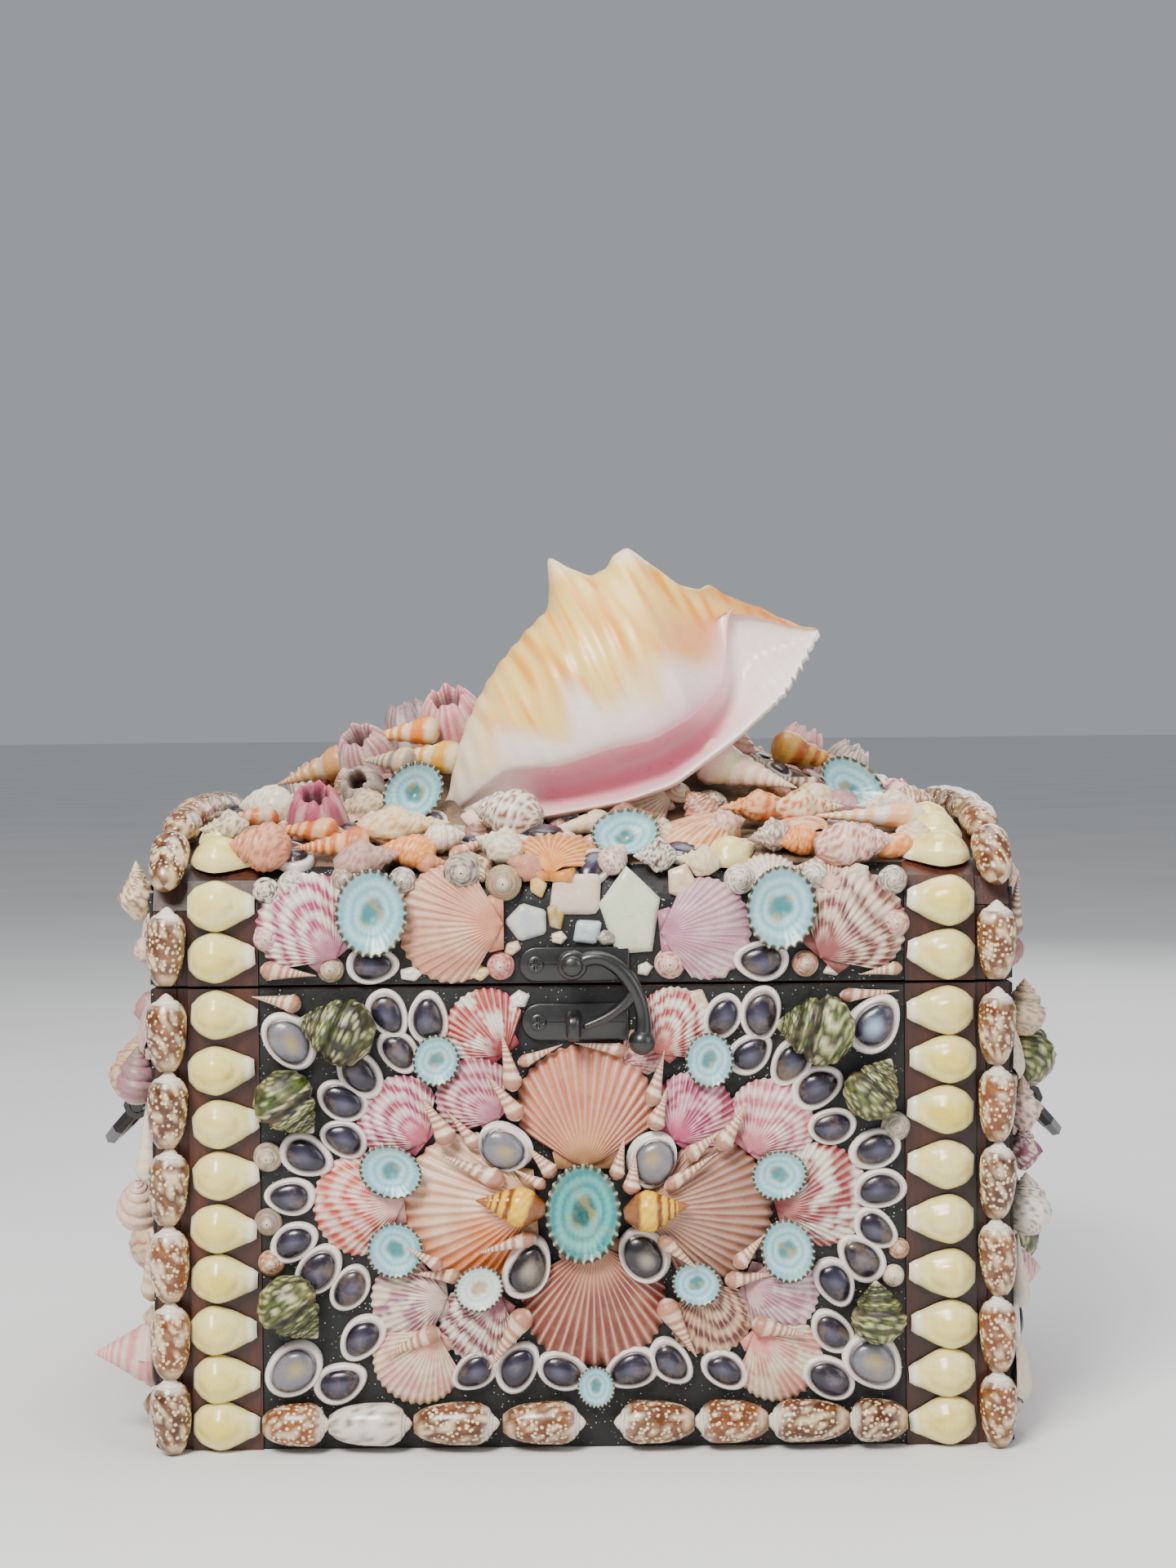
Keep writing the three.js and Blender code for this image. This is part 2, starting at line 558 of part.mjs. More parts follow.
// The mouth is a long hollow along the front and underside.
function conchMouth() {
  const hollow = new THREE.SphereGeometry(1, 10, 6).scale(50, 24, 13).translate(88, -34, -3);
  return solidOf(hollow.applyMatrix4(conchPose()));
}

// ---------- ironwork ----------
const LATCH_Y = -HALF_D - FACE_LIFT - GAP; // back of the latch plates
const PLATE = 1.5;
const HOOK_OFF = 11.5; // from the plates' back to the hook's middle
const HOOK_PIVOT = [-3.1, 171];
const HOOK_ARM = [[-3.1, 171], [5, 174.2], [12, 171], [16.5, 166], [19.8, 160], [21.6, 152.5], [21, 145.5]];
const HOOK_TONGUE = [[18.4, 161.5], [14.5, 156.6], [9, 152.8], [1.6, 149.9]];
const LUG = [-2.8, 149.2];

const facing = (x, z, off) => [x, LATCH_Y - off, z];

function plate(x0, x1, z0, z1) {
  const radius = (z1 - z0) / 2;
  const bar = boxBetween([x0 + radius, LATCH_Y - PLATE, z0], [x1, LATCH_Y, z1]);
  const round = rod(facing(x0 + radius, z0 + radius, PLATE), facing(x0 + radius, z0 + radius, 0), radius, 14);
  const screw = rod(facing(x0 + 4.6, z0 + radius, PLATE + 0.8), facing(x0 + 4.6, z0 + radius, 0.5), 2.2, 8);
  return join([bar, round, screw]);
}

const strip = (path, width) =>
  bent(path.map(([x, z]) => facing(x, z, HOOK_OFF)), width / 2, 6, [0, 1, 0]);

function latch() {
  const pin = rod(facing(...HOOK_PIVOT, HOOK_OFF + 4), facing(...HOOK_PIVOT, PLATE - 0.5), 1.8, 8);
  const boss = rod(facing(...HOOK_PIVOT, HOOK_OFF - 2.6), facing(...HOOK_PIVOT, PLATE - 0.5), 4.2, 8);
  const cap = rod(facing(...HOOK_PIVOT, HOOK_OFF + 4.2), facing(...HOOK_PIVOT, HOOK_OFF + 2.6), 3.4, 8);
  const lugFoot = new THREE.BoxGeometry(5.2, HOOK_OFF + 3.5 - PLATE, 9.6);
  const [lugX, lugZ] = LUG;
  const lug = solidOf(lugFoot.translate(lugX, LATCH_Y - (HOOK_OFF + 3.5 + PLATE) / 2, lugZ));
  const eye = rod(facing(...HOOK_PIVOT, HOOK_OFF + 2.2), facing(...HOOK_PIVOT, HOOK_OFF - 2.2), 5, 10);
  const bore = rod(facing(...HOOK_PIVOT, HOOK_OFF + 5), facing(...HOOK_PIVOT, HOOK_OFF - 5), 2.2, 8);
  const ball = solidOf(new THREE.SphereGeometry(4.3, 8, 6).translate(...facing(20.8, 144.1, HOOK_OFF)));
  const hook = cut(join([strip(HOOK_ARM, 4.6), strip(HOOK_TONGUE, 4), eye, ball]), [bore]);
  return {
    latch_plate_lid: join([plate(-21.7, 16.8, LID_BOTTOM + 0.5, 176.4), pin, boss, cap]),
    latch_plate_body: join([plate(-21.1, 16.3, 143.6, 156.7), lug]),
    latch_hook: hook,
  };
}

const HINGE_X = 78;
const KNUCKLE = 2.8;

function hinges() {
  const made = {};
  const onLine = (x) => [x, PIVOT_Y, PIVOT_Z];
  const along = (x0, x1, radius, sides = 8) => rod(onLine(x0), onLine(x1), radius, sides);
  const leafY = [HALF_D + FACE_LIFT + GAP, HALF_D + FACE_LIFT + GAP + PLATE];
  for (const [side, name] of [[-1, "left"], [1, "right"]]) {
    const [from, to] = [side * HINGE_X - 15, side * HINGE_X + 15];
    const low = boxBetween([from, leafY[0], 140], [to, leafY[1], PIVOT_Z - 1]);
    const high = boxBetween([from, leafY[0], PIVOT_Z + 1], [to, leafY[1], 184]);
    const notch = boxBetween([from + 10 - GAP, HALF_D, 155], [to - 10 + GAP, PIVOT_Y + 9, 171]);
    const slots = [
      boxBetween([from - 1, HALF_D, 155], [from + 10, PIVOT_Y + 9, 171]),
      boxBetween([to - 10, HALF_D, 155], [to + 1, PIVOT_Y + 9, 171]),
    ];
    const outer = join([along(from, from + 10 - GAP, KNUCKLE), along(to - 10 + GAP, to, KNUCKLE)]);
    const body = cut(low, [notch]).add(outer).add(along(from + 1, to - 1, 1.2));
    const knuckle = cut(along(from + 10, to - 10, KNUCKLE), [along(from, to, 1.6)]);
    made[`hinge_${name}_body`] = body;
    made[`hinge_${name}_lid`] = cut(high, [...slots, along(from, to, 1.6)]).add(knuckle);
  }
  return made;
}

// Drop handles: an iron bail between two posts, lying outwards on the shells below it.
const BAIL = { z: 112, off: 18, halfSpan: 34, drop: 21, lean: 42, rod: 2.7 };

function handles() {
  const made = {};
  for (const [side, name] of [[-1, "left"], [1, "right"]]) {
    const at = (off, y, z) => [side * (HALF_W + off), y, z];
    const [pivotOff, pivotZ] = [BAIL.off, BAIL.z];
    const posts = [-1, 1].map((end) => {
      const y = end * BAIL.halfSpan;
      const foot = boxBetween(
        [Math.min(side * (HALF_W + 1.6), side * (HALF_W + 3.4)), y - 7, pivotZ - 12],
        [Math.max(side * (HALF_W + 1.6), side * (HALF_W + 3.4)), y + 7, pivotZ + 12],
      );
      const stem = rod(at(3, y, pivotZ), at(pivotOff, y, pivotZ), 3.6, 6);
      const eye = rod(at(pivotOff, y - 3.2, pivotZ), at(pivotOff, y + 3.2, pivotZ), 5.4, 8);
      const bore = rod(at(pivotOff, y - 9, pivotZ), at(pivotOff, y + 9, pivotZ), 3.2, 8);
      return cut(join([foot, stem, eye]), [bore]);
    });
    const lean = rad(BAIL.lean);
    const bar = (y, drop) => at(pivotOff + drop * Math.sin(lean), y, pivotZ - drop * Math.cos(lean));
    const wide = BAIL.halfSpan - 7;
    const path = [
      bar(-BAIL.halfSpan - 4.6, 0), bar(-wide, 0),
      bar(-wide + 4, BAIL.drop * 0.7), bar(-wide + 12, BAIL.drop),
      bar(wide - 12, BAIL.drop), bar(wide - 4, BAIL.drop * 0.7), bar(wide, 0), bar(BAIL.halfSpan + 4.6, 0),
    ];
    const flat = [side * Math.cos(lean), 0, Math.sin(lean)];
    made[`handle_${name}_back_post`] = posts[1];
    made[`handle_${name}_front_post`] = posts[0];
    made[`handle_${name}_bail`] = bent(path, BAIL.rod, 6, flat);
  }
  return made;
}

// ---------- the sides and the back, in keeping ----------
const SIDE_SHELLS = {
  scallop: [[-70, 30, 36, 60], [-4, 26, 38, 100], [66, 30, 36, 80], [-70, 84, 34, 20], [72, 88, 34, 160]],
  turban: [[-34, 62, 28, 30], [34, 62, 28, 130], [-76, 136, 26, 60], [76, 132, 26, 120]],
  snail: [[-74, 56, 22], [0, 140, 24]],
  auger: [[-36, 146, 38, 170], [36, 146, 38, 10]],
  barnacle: [[0, 90, 26]],
};
const LID_SIDE_SHELLS = {
  scallop: [[-66, 184, 32, 60], [0, 184, 34, 90], [66, 184, 32, 120]],
};
const BACK_SHELLS = {
  scallop: [[-80, 34, 46, 90], [0, 34, 46, 90], [80, 34, 46, 90], [-40, 80, 46, 90], [40, 80, 46, 90]],
  cowrie: [[-92, 88, 30, 90], [0, 92, 30, 90], [92, 88, 30, 90]],
};

// ---------- assembling ----------
const MATERIALS = {
  wood: { color: 0x4a1d0e, roughness: 0.45, metalness: 0 },
  yellow: { color: 0xe8df8e, roughness: 0.3, metalness: 0 },
  brown: { color: 0x8a5230, roughness: 0.3, metalness: 0 },
  mixed: { color: 0xb98a7c, roughness: 0.5, metalness: 0 },
  pink: { color: 0xf0c4b0, roughness: 0.35, metalness: 0 },
  iron: { color: 0x0c0c0d, roughness: 0.4, metalness: 0.7 },
};

function mosaic(lining, face, layout) {
  return join([lining, ...shellsOn(face, layout)]);
}

function sideMosaics() {
  const made = {};
  for (const [side, name, face] of [[-1, "left", LEFT], [1, "right", RIGHT]]) {
    const [near, far] = [side * (HALF_W + GAP), side * (HALF_W + FACE_LIFT)].sort((a, b) => a - b);
    const lining = boxBetween([near, -HALF_D + 1, 0.6], [far, HALF_D - 1, BODY_TOP - 0.4]);
    const lidLining = boxBetween([near, -HALF_D + 1, LID_BOTTOM + 0.4], [far, HALF_D - 1, 196]);
    const frontPosts = boxBetween([-WIDTH, -46, 98], [WIDTH, -22, 126]);
    const posts = frontPosts.add(boxBetween([-WIDTH, 22, 98], [WIDTH, 46, 126]));
    made[`side_${name}_shells`] = largest(cut(mosaic(lining, face, SIDE_SHELLS), [posts]));
    made[`lid_${name}_shells`] = mosaic(lidLining, face, LID_SIDE_SHELLS);
  }
  return made;
}

function allSolids() {
  const frontFace = -HALF_D - FACE_LIFT;
  const front = boxBetween([-PANEL_HALF, frontFace, 0.6], [PANEL_HALF, -HALF_D - GAP, BODY_TOP - 0.4]);
  const back = boxBetween([-PANEL_HALF, HALF_D + GAP, 0.6], [PANEL_HALF, HALF_D + FACE_LIFT, BODY_TOP - 3]);
  const lidLining = lidBand(GAP, FACE_LIFT, -PANEL_HALF, PANEL_HALF);
  const lidTrim = boxBetween([-WIDTH, 0, 0], [WIDTH, DEPTH, LID_BOTTOM + 3]);
  const conch = cut(conchSolid(), [conchMouth()]);
  const heap = join([heapCore(), heapBed(), ...heapShells()]).subtract(underHeap());
  const lidFront = mosaic(cut(lidLining, [lidTrim]), FRONT, LID_FRONT_SHELLS);
  const made = {
    ...bodyBoards(),
    ...lidBoards(),
    ...straps(),
    front_shells: mosaic(front, FRONT, FRONT_SHELLS),
    back_shells: mosaic(back, BACK, BACK_SHELLS),
    lid_front_shells: lidFront,
    ...sideMosaics(),
    conch,
    ...latch(),
    ...hinges(),
    ...handles(),
  };
  for (const [side, name] of [[-1, "left"], [1, "right"]]) {
    made[`front_${name}_cowries`] = frontColumn("cowrie", side);
    made[`front_${name}_olives`] = frontColumn("olive", side);
    made[`lid_${name}_cowries`] = lidColumn("cowrie", side, name);
    made[`lid_${name}_olives`] = lidColumn("olive", side, name);
  }
  const neighbours = [lidFront, conchSolid(GAP), made.lid_left_cowries, made.lid_right_cowries];
  neighbours.push(made.lid_left_olives, made.lid_right_olives, made.lid_left_shells, made.lid_right_shells);
  made.lid_heap = largest(cut(heap, neighbours));
  return made;
}

function lookOf(name) {
  if (/latch|hinge|handle/.test(name)) return "iron";
  if (/board|strap|rail|_end/.test(name)) return "wood";
  if (/cowries/.test(name)) return "yellow";
  if (/olives/.test(name)) return "brown";
  return name === "conch" ? "pink" : "mixed";
}

const chest = new THREE.Group();
for (const [name, solid] of Object.entries(allSolids())) {
  const mesh = new THREE.Mesh(geometryOf(solid), new THREE.MeshStandardMaterial(MATERIALS[lookOf(name)]));
  mesh.name = name;
  chest.add(mesh);
}

export default chest;
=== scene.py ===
"""A small domed wooden chest covered in sea shells. Places are in millimetres until a mesh is built."""
import math

import bpy
import numpy as np
from mathutils import Matrix, Vector


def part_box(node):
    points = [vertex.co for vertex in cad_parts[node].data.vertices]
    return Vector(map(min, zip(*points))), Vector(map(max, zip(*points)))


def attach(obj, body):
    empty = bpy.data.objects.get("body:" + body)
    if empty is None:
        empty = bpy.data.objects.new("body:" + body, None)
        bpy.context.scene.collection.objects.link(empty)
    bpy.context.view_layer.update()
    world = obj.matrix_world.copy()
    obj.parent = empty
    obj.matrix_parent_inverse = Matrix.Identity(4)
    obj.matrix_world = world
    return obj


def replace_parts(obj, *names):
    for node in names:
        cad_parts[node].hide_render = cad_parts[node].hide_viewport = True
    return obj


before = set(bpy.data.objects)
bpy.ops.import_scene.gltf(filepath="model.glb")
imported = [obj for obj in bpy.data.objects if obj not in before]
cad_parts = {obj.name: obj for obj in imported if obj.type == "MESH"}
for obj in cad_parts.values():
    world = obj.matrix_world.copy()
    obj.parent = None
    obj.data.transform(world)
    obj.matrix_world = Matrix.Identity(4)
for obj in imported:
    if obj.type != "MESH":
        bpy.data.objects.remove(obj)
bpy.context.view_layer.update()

MM = 0.001
TAU = 2 * math.pi


def extent(node):
    """The lowest and highest corner of a CAD node, in millimetres."""
    low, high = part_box(node)
    return np.array(low) / MM, np.array(high) / MM


# ---------- driving dimensions, from the frame ----------
HALF_W = extent("right_board")[1][0]
HALF_D = extent("right_board")[1][1]
BODY_TOP = extent("front_board")[1][2]
LID_BOTTOM = extent("lid_front_rail")[0][2]
LID_CROWN = extent("lid_top_board")[1][2]
LID_SHOULDER = extent("lid_top_board")[0][2]
ARCH_RISE = LID_CROWN - LID_SHOULDER
ARCH_POWER = 2.6
GAP = 0.3
RICHNESS, DEPTH_OF_TONE = 1.18, 0.94
LINING = 1.0
LIFT = GAP + LINING
PANEL_HALF = extent("front_shells")[1][0]
# Room that linings keep over the table, and on each side of the lid's seam.
FOOT, SEAM_ROOM = 0.6, 0.4
HEAP = {"x": 0, "y": 6, "z": 194, "half_x": 128, "half_y": 76, "rise": 56}


# ---------- small helpers ----------
def rgb(*values):
    """A colour given as it looks, turned into the linear values that Blender mixes."""
    return np.array([v / 12.92 if v <= 0.04045 else ((v + 0.055) / 1.055) ** 2.4 for v in values])


def mix(a, b, share):
    share = np.clip(np.asarray(share, float), 0, 1)[..., None]
    return np.asarray(a) * (1 - share) + np.asarray(b) * share


def smooth(low, high, value):
    t = np.clip((np.asarray(value, float) - low) / (high - low), 0, 1)
    return t * t * (3 - 2 * t)


def waves(x, y, seed, scale=1.0):
    """Soft blotches between about -1 and 1, the same each run for a seed."""
    rng = np.random.default_rng(seed)
    total = np.zeros(np.broadcast(x, y).shape)
    for _ in range(6):
        a, b, c = rng.uniform(-1, 1, 3)
        length = math.hypot(a, b) + 0.2
        total += np.sin((a * x + b * y) / length * scale * rng.uniform(4, 11) + c * TAU)
    return total / 3.0


def new_object(name, data):
    """An object in the scene."""
    made = bpy.data.objects.new(name, data)
    bpy.context.scene.collection.objects.link(made)
    return made


def grid_faces(rows, columns, closed):
    """Quads over a grid of rows x columns points, joined round the columns when closed."""
    r = np.arange(rows - 1)[:, None]
    c = np.arange(columns if closed else columns - 1)[None, :]
    n = (c + 1) % columns
    a, b = r * columns + c, r * columns + n
    return np.stack([a, b, b + columns, a + columns], -1).reshape(-1, 4)


# The heights between which the shells of each body stay, clear of the table and of the lid's seam.
SPAN = {"chest": (FOOT, 162.3), "lid": (163.9, 400)}
EVERYWHERE = (-1000, 1000)
# Shells that lie further in than this stay above the underside of the lid's board: in x, in y, its thickness.
WALL_X, WALL_Y, BOARD = 2, 14, 4
# The share of red, green and blue in how bright a colour looks.
BRIGHTNESS = (0.21, 0.72, 0.07)


class Batch:
    """Shells of one sort and zone, kept together as one mesh with a colour for every point."""

    def __init__(self, name, body, material, slot="mixed_shell"):
        self.name, self.body, self.material, self.slot = name, body, material, slot
        self.points, self.faces, self.tints, self.spots = [], [], [], []
        self.count = 0

    def add(self, shell, pose):
        points, faces, tints, spots = shell
        flat = points.reshape(-1, 3)
        placed = flat @ pose[:3, :3].T + pose[:3, 3]
        low, high = SPAN.get(self.body, EVERYWHERE)
        placed[:, 2] += max(low - placed[:, 2].min(), 0) - max(placed[:, 2].max() - high, 0)
        if self.body == "lid":
            x, y = np.abs(placed[:, 0]), np.abs(placed[:, 1])
            over = placed[(x < HALF_W - WALL_X) & (y < HALF_D - WALL_Y)]
            if len(over):
                placed[:, 2] += max((arch_height(over[:, 1]) - BOARD - over[:, 2]).max(), 0)
        self.points.append(placed)
        self.faces.append(faces + self.count)
        self.tints.append(np.broadcast_to(tints, points.shape).reshape(-1, 3))
        self.spots.append(np.broadcast_to(spots, points.shape[:-1]).reshape(-1))
        self.count += len(flat)

    def build(self):
        if not self.points:
            return None
        points = np.concatenate(self.points) * MM
        faces = np.concatenate(self.faces)
        mesh = bpy.data.meshes.new(self.name)
        mesh.from_pydata(points.tolist(), [], faces.tolist())
        mesh.polygons.foreach_set("use_smooth", [True] * len(mesh.polygons))
        tint = mesh.color_attributes.new("tint", "FLOAT_COLOR", "POINT")
        colours = np.concatenate(self.tints)
        grey = colours @ BRIGHTNESS
        colours = np.clip(grey[:, None] + (colours - grey[:, None]) * RICHNESS, 0, 1) * DEPTH_OF_TONE
        tint.data.foreach_set("color", np.c_[colours, np.ones(len(colours))].astype("f4").ravel())
        spot = mesh.attributes.new("spots", "FLOAT", "POINT")
        spot.data.foreach_set("value", np.concatenate(self.spots).astype("f4"))
        mesh.materials.append(self.material)
        mesh.update()
        piece = new_object(self.name, mesh)
        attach(piece, self.body)
        return piece


# ---------- poses ----------
def basis(x_axis, y_axis, z_axis, origin):
    pose = np.eye(4)
    for column, axis in enumerate((x_axis, y_axis, z_axis)):
        pose[:3, column] = axis
    pose[:3, 3] = origin
    return pose


FRONT = basis((1, 0, 0), (0, 0, 1), (0, -1, 0), (0, -HALF_D - LIFT, 0))
BACK = basis((-1, 0, 0), (0, 0, 1), (0, 1, 0), (0, HALF_D + LIFT, 0))
RIGHT = basis((0, 1, 0), (0, 0, 1), (1, 0, 0), (HALF_W + LIFT, 0, 0))
LEFT = basis((0, -1, 0), (0, 0, 1), (-1, 0, 0), (-HALF_W - LIFT, 0, 0))


def shifted(x=0, y=0, z=0):
    pose = np.eye(4)
    pose[:3, 3] = (x, y, z)
    return pose


def turned(axis, degrees):
    return np.array(Matrix.Rotation(math.radians(degrees), 4, axis))


def on(face, x, y, turn=0, lift=0, tilt=0):
    """A shell's pose on a face: its +x end turned, and raised by tilt."""
    return face @ shifted(x, y, lift) @ turned("Z", turn) @ turned("Y", -tilt)


def arch_height(y):
    inside = np.clip(1 - (np.abs(y) / HALF_D) ** ARCH_POWER, 0, 1)
    return LID_SHOULDER + ARCH_RISE * inside ** (1 / ARCH_POWER)


def lid_outline(by=0, steps=400, front_foot=0, back_foot=0):
    """The lid's outline in (y, z) from front to back, moved outward, its feet raised."""
    angle = np.linspace(0, math.pi, steps)
    power = lambda value: np.sign(value) * np.abs(value) ** (2 / ARCH_POWER)
    y = -(HALF_D + by) * power(np.cos(angle))
    z = LID_SHOULDER + (ARCH_RISE + by) * power(np.sin(angle))
    feet = (-HALF_D - by, LID_BOTTOM + front_foot), (HALF_D + by, LID_BOTTOM + back_foot)
    return np.vstack([feet[0], np.c_[y, z], feet[1]])


OUTLINE = lid_outline()
OUTLINE_RUN = np.r_[0, np.cumsum(np.hypot(*np.diff(OUTLINE, axis=0).T))]


def along_lid(distance):
    return np.array([np.interp(distance, OUTLINE_RUN, OUTLINE[:, k]) for k in (0, 1)])


def lid_face(distance, reach=9):
    """A face on the lid at a distance from its front lower edge; its y runs along the outline."""
    here = along_lid(distance)
    run = along_lid(distance + reach) - along_lid(max(distance - reach, 0))
    uy, uz = run / np.hypot(*run)
    origin = (0, here[0] - uz * LIFT, here[1] + uy * LIFT)
    return basis((1, 0, 0), (0, uy, uz), (0, -uz, uy), origin)


def heap_top(x, y):
    inside = 1 - ((x - HEAP["x"]) / HEAP["half_x"]) ** 2 - ((y - HEAP["y"]) / HEAP["half_y"]) ** 2
    dome = HEAP["z"] + HEAP["rise"] * math.sqrt(inside) if inside > 0 else 0
    return max(dome, float(arch_height(y)) + 2.1)


def heap_face(x, y, step=6):
    slope_x = (heap_top(x + step, y) - heap_top(x - step, y)) / (2 * step)
    slope_y = (heap_top(x, y + step) - heap_top(x, y - step)) / (2 * step)
    out = np.array([-slope_x, -slope_y, 1.0])
    out /= np.linalg.norm(out)
    across = np.array([1.0, 0, slope_x])
    across /= np.linalg.norm(across)
    return basis(across, np.cross(out, across), out, (x, y, heap_top(x, y)))


# ---------- materials ----------
def new_material(name):
    material = bpy.data.materials.new(name)
    material.use_nodes = True
    tree = material.node_tree
    tree.nodes.clear()
    out = tree.nodes.new("ShaderNodeOutputMaterial")
    shader = tree.nodes.new("ShaderNodeBsdfPrincipled")
    tree.links.new(shader.outputs["BSDF"], out.inputs["Surface"])
    return material, tree, shader


def node(tree, kind, **settings):
    made = tree.nodes.new(kind)
    for key, value in settings.items():
        if key in made.inputs:
            made.inputs[key].default_value = value
        else:
            setattr(made, key, value)
    return made


def mixed(tree, share, a, b, blend="MIX"):
    """A colour mix; share, a and b are sockets or constants."""
    made = tree.nodes.new("ShaderNodeMix")
    made.data_type = "RGBA"
    made.blend_type = blend
    for index, value in ((0, share), (6, a), (7, b)):
        if isinstance(value, bpy.types.NodeSocket):
            tree.links.new(value, made.inputs[index])
        else:
            made.inputs[index].default_value = value if index == 0 else (*value, 1)
    return made.outputs[2]


def ramp(tree, value, *stops):
    """A colour ramp from (place, grey or colour) stops."""
    made = tree.nodes.new("ShaderNodeValToRGB")
    elements = made.color_ramp.elements
    while len(elements) < len(stops):
        elements.new(0.5)
    for element, (place, colour) in zip(elements, stops):
        element.position = place
        element.color = (*colour, 1) if hasattr(colour, "__len__") else (colour, colour, colour, 1)
    tree.links.new(value, made.inputs["Fac"])
    return made.outputs["Color"]


def object_places(tree, scale=(1, 1, 1)):
    coordinates = tree.nodes.new("ShaderNodeTexCoord")
    mapping = node(tree, "ShaderNodeMapping")
    mapping.inputs["Scale"].default_value = scale
    tree.links.new(coordinates.outputs["Object"], mapping.inputs["Vector"])
    return mapping.outputs["Vector"]


def noise(tree, places, scale, detail=4.0, rough=0.6):
    made = node(tree, "ShaderNodeTexNoise", Scale=scale, Detail=detail, Roughness=rough)
    tree.links.new(places, made.inputs["Vector"])
    return made.outputs["Fac"]


def bump(tree, shader, height, distance, strength=1.0):
    made = node(tree, "ShaderNodeBump", Distance=distance, Strength=strength)
    tree.links.new(height, made.inputs["Height"])
    tree.links.new(made.outputs["Normal"], shader.inputs["Normal"])


def product(tree, *factors):
    made = node(tree, "ShaderNodeMath", operation="MULTIPLY")
    for factor, socket in zip(factors, made.inputs):
        tree.links.new(factor, socket)
    return made.outputs[0]


def dots(tree, places, scale, *stops):
    """Round dots, one to a cell."""
    cells = node(tree, "ShaderNodeTexVoronoi", Scale=scale, Randomness=1.0)
    tree.links.new(places, cells.inputs["Vector"])
    return ramp(tree, cells.outputs["Distance"], *stops)


def coated(shader, weight, roughness):
    shader.inputs["Coat Weight"].default_value = weight
    shader.inputs["Coat Roughness"].default_value = roughness


PALE_SPOT = rgb(0.9, 0.82, 0.66)


def shell_material(name, roughness, coat, grain, stain=0.35, spot_scale=420.0):
    """Shell: its own colour, dulled by fine stains, with pale spots where the shell has them."""
    material, tree, shader = new_material(name)
    places = object_places(tree)
    tint = node(tree, "ShaderNodeVertexColor", layer_name="tint").outputs["Color"]
    spots = node(tree, "ShaderNodeAttribute", attribute_name="spots").outputs["Fac"]
    fine = noise(tree, places, 900.0, 6.0, 0.65)
    broad = noise(tree, places, 130.0, 3.0)
    stained = mixed(tree, stain, tint, ramp(tree, fine, (0.3, 0.45), (0.62, 1.0)), "MULTIPLY")
    warmed = mixed(tree, ramp(tree, broad, (0.5, 0.0), (0.75, 0.22)), stained, rgb(0.78, 0.66, 0.5))
    share = product(tree, dots(tree, places, spot_scale, (0.25, 1.0), (0.42, 0.0)), spots)
    tree.links.new(mixed(tree, share, warmed, PALE_SPOT), shader.inputs["Base Color"])
    dull = ramp(tree, broad, (0.3, roughness * 0.75), (0.8, min(roughness * 1.35, 1)))
    tree.links.new(dull, shader.inputs["Roughness"])
    coated(shader, coat, 0.12)
    bump(tree, shader, fine, grain * MM, 0.6)
    return material


def worn_material(name, broad, fine, base, share, dark, dull, grain, coat=None, stretch=(1, 1, 1)):
    """A base colour from broad noise; fine noise darkens it, dulls it and roughens its surface."""
    material, tree, shader = new_material(name)
    places = object_places(tree, stretch)
    broad, fine = noise(tree, places, *broad), noise(tree, places, *fine)
    colour = mixed(tree, share, ramp(tree, broad, *base), ramp(tree, fine, *dark), "MULTIPLY")
    tree.links.new(colour, shader.inputs["Base Color"])
    tree.links.new(ramp(tree, fine, *dull), shader.inputs["Roughness"])
    if coat:
        coated(shader, *coat)
    bump(tree, shader, fine, grain * MM)
    return material


def ground_material():
    """Black ground with fine pale specks."""
    material, tree, shader = new_material("speckled_ground")
    places = object_places(tree)
    crowd = ramp(tree, noise(tree, places, 90.0, 2.0), (0.42, 0.0), (0.56, 1.0))
    share = product(tree, dots(tree, places, 620.0, (0.1, 1.0), (0.17, 0.0)), crowd)
    rough = noise(tree, places, 500.0, 5.0)
    base = ramp(tree, rough, (0.3, rgb(0.03, 0.034, 0.035)), (0.75, rgb(0.085, 0.09, 0.09)))
    tree.links.new(mixed(tree, share, base, rgb(0.8, 0.82, 0.8)), shader.inputs["Base Color"])
    tree.links.new(ramp(tree, rough, (0.3, 0.4), (0.7, 0.7)), shader.inputs["Roughness"])
    bump(tree, shader, rough, 0.2 * MM)
    return material


POLISHED = shell_material("polished_shell", 0.26, 0.35, 0.1, stain=0.22, spot_scale=560.0)
SATIN = shell_material("satin_shell", 0.42, 0.12, 0.22)
CHALKY = shell_material("chalky_shell", 0.6, 0.0, 0.35, stain=0.5)
NACRE = shell_material("nacre", 0.3, 0.35, 0.12, stain=0.22)
# Red-brown stained board, its noise drawn out along its own z.
WOOD = worn_material(
    "stained_wood", (60.0, 5.0, 0.55), (700.0, 6.0, 0.7),
    [(0.3, rgb(0.12, 0.05, 0.03)), (0.5, rgb(0.26, 0.11, 0.05)), (0.72, rgb(0.42, 0.2, 0.09))],
    0.55, [(0.35, 0.35), (0.62, 1.0)], [(0.3, 0.34), (0.7, 0.58)], 0.25, (0.25, 0.25), (1, 1, 0.12))
GROUND = ground_material()
# Sand and hardened glue between the shells of the heap.
GLUE = worn_material(
    "sandy_glue", (120.0, 3.0), (1100.0, 6.0, 0.7),
    [(0.3, rgb(0.3, 0.23, 0.18)), (0.7, rgb(0.6, 0.48, 0.38))],
    0.6, [(0.35, 0.4), (0.62, 1.0)], [(0.3, 0.6), (0.7, 0.95)], 0.6)
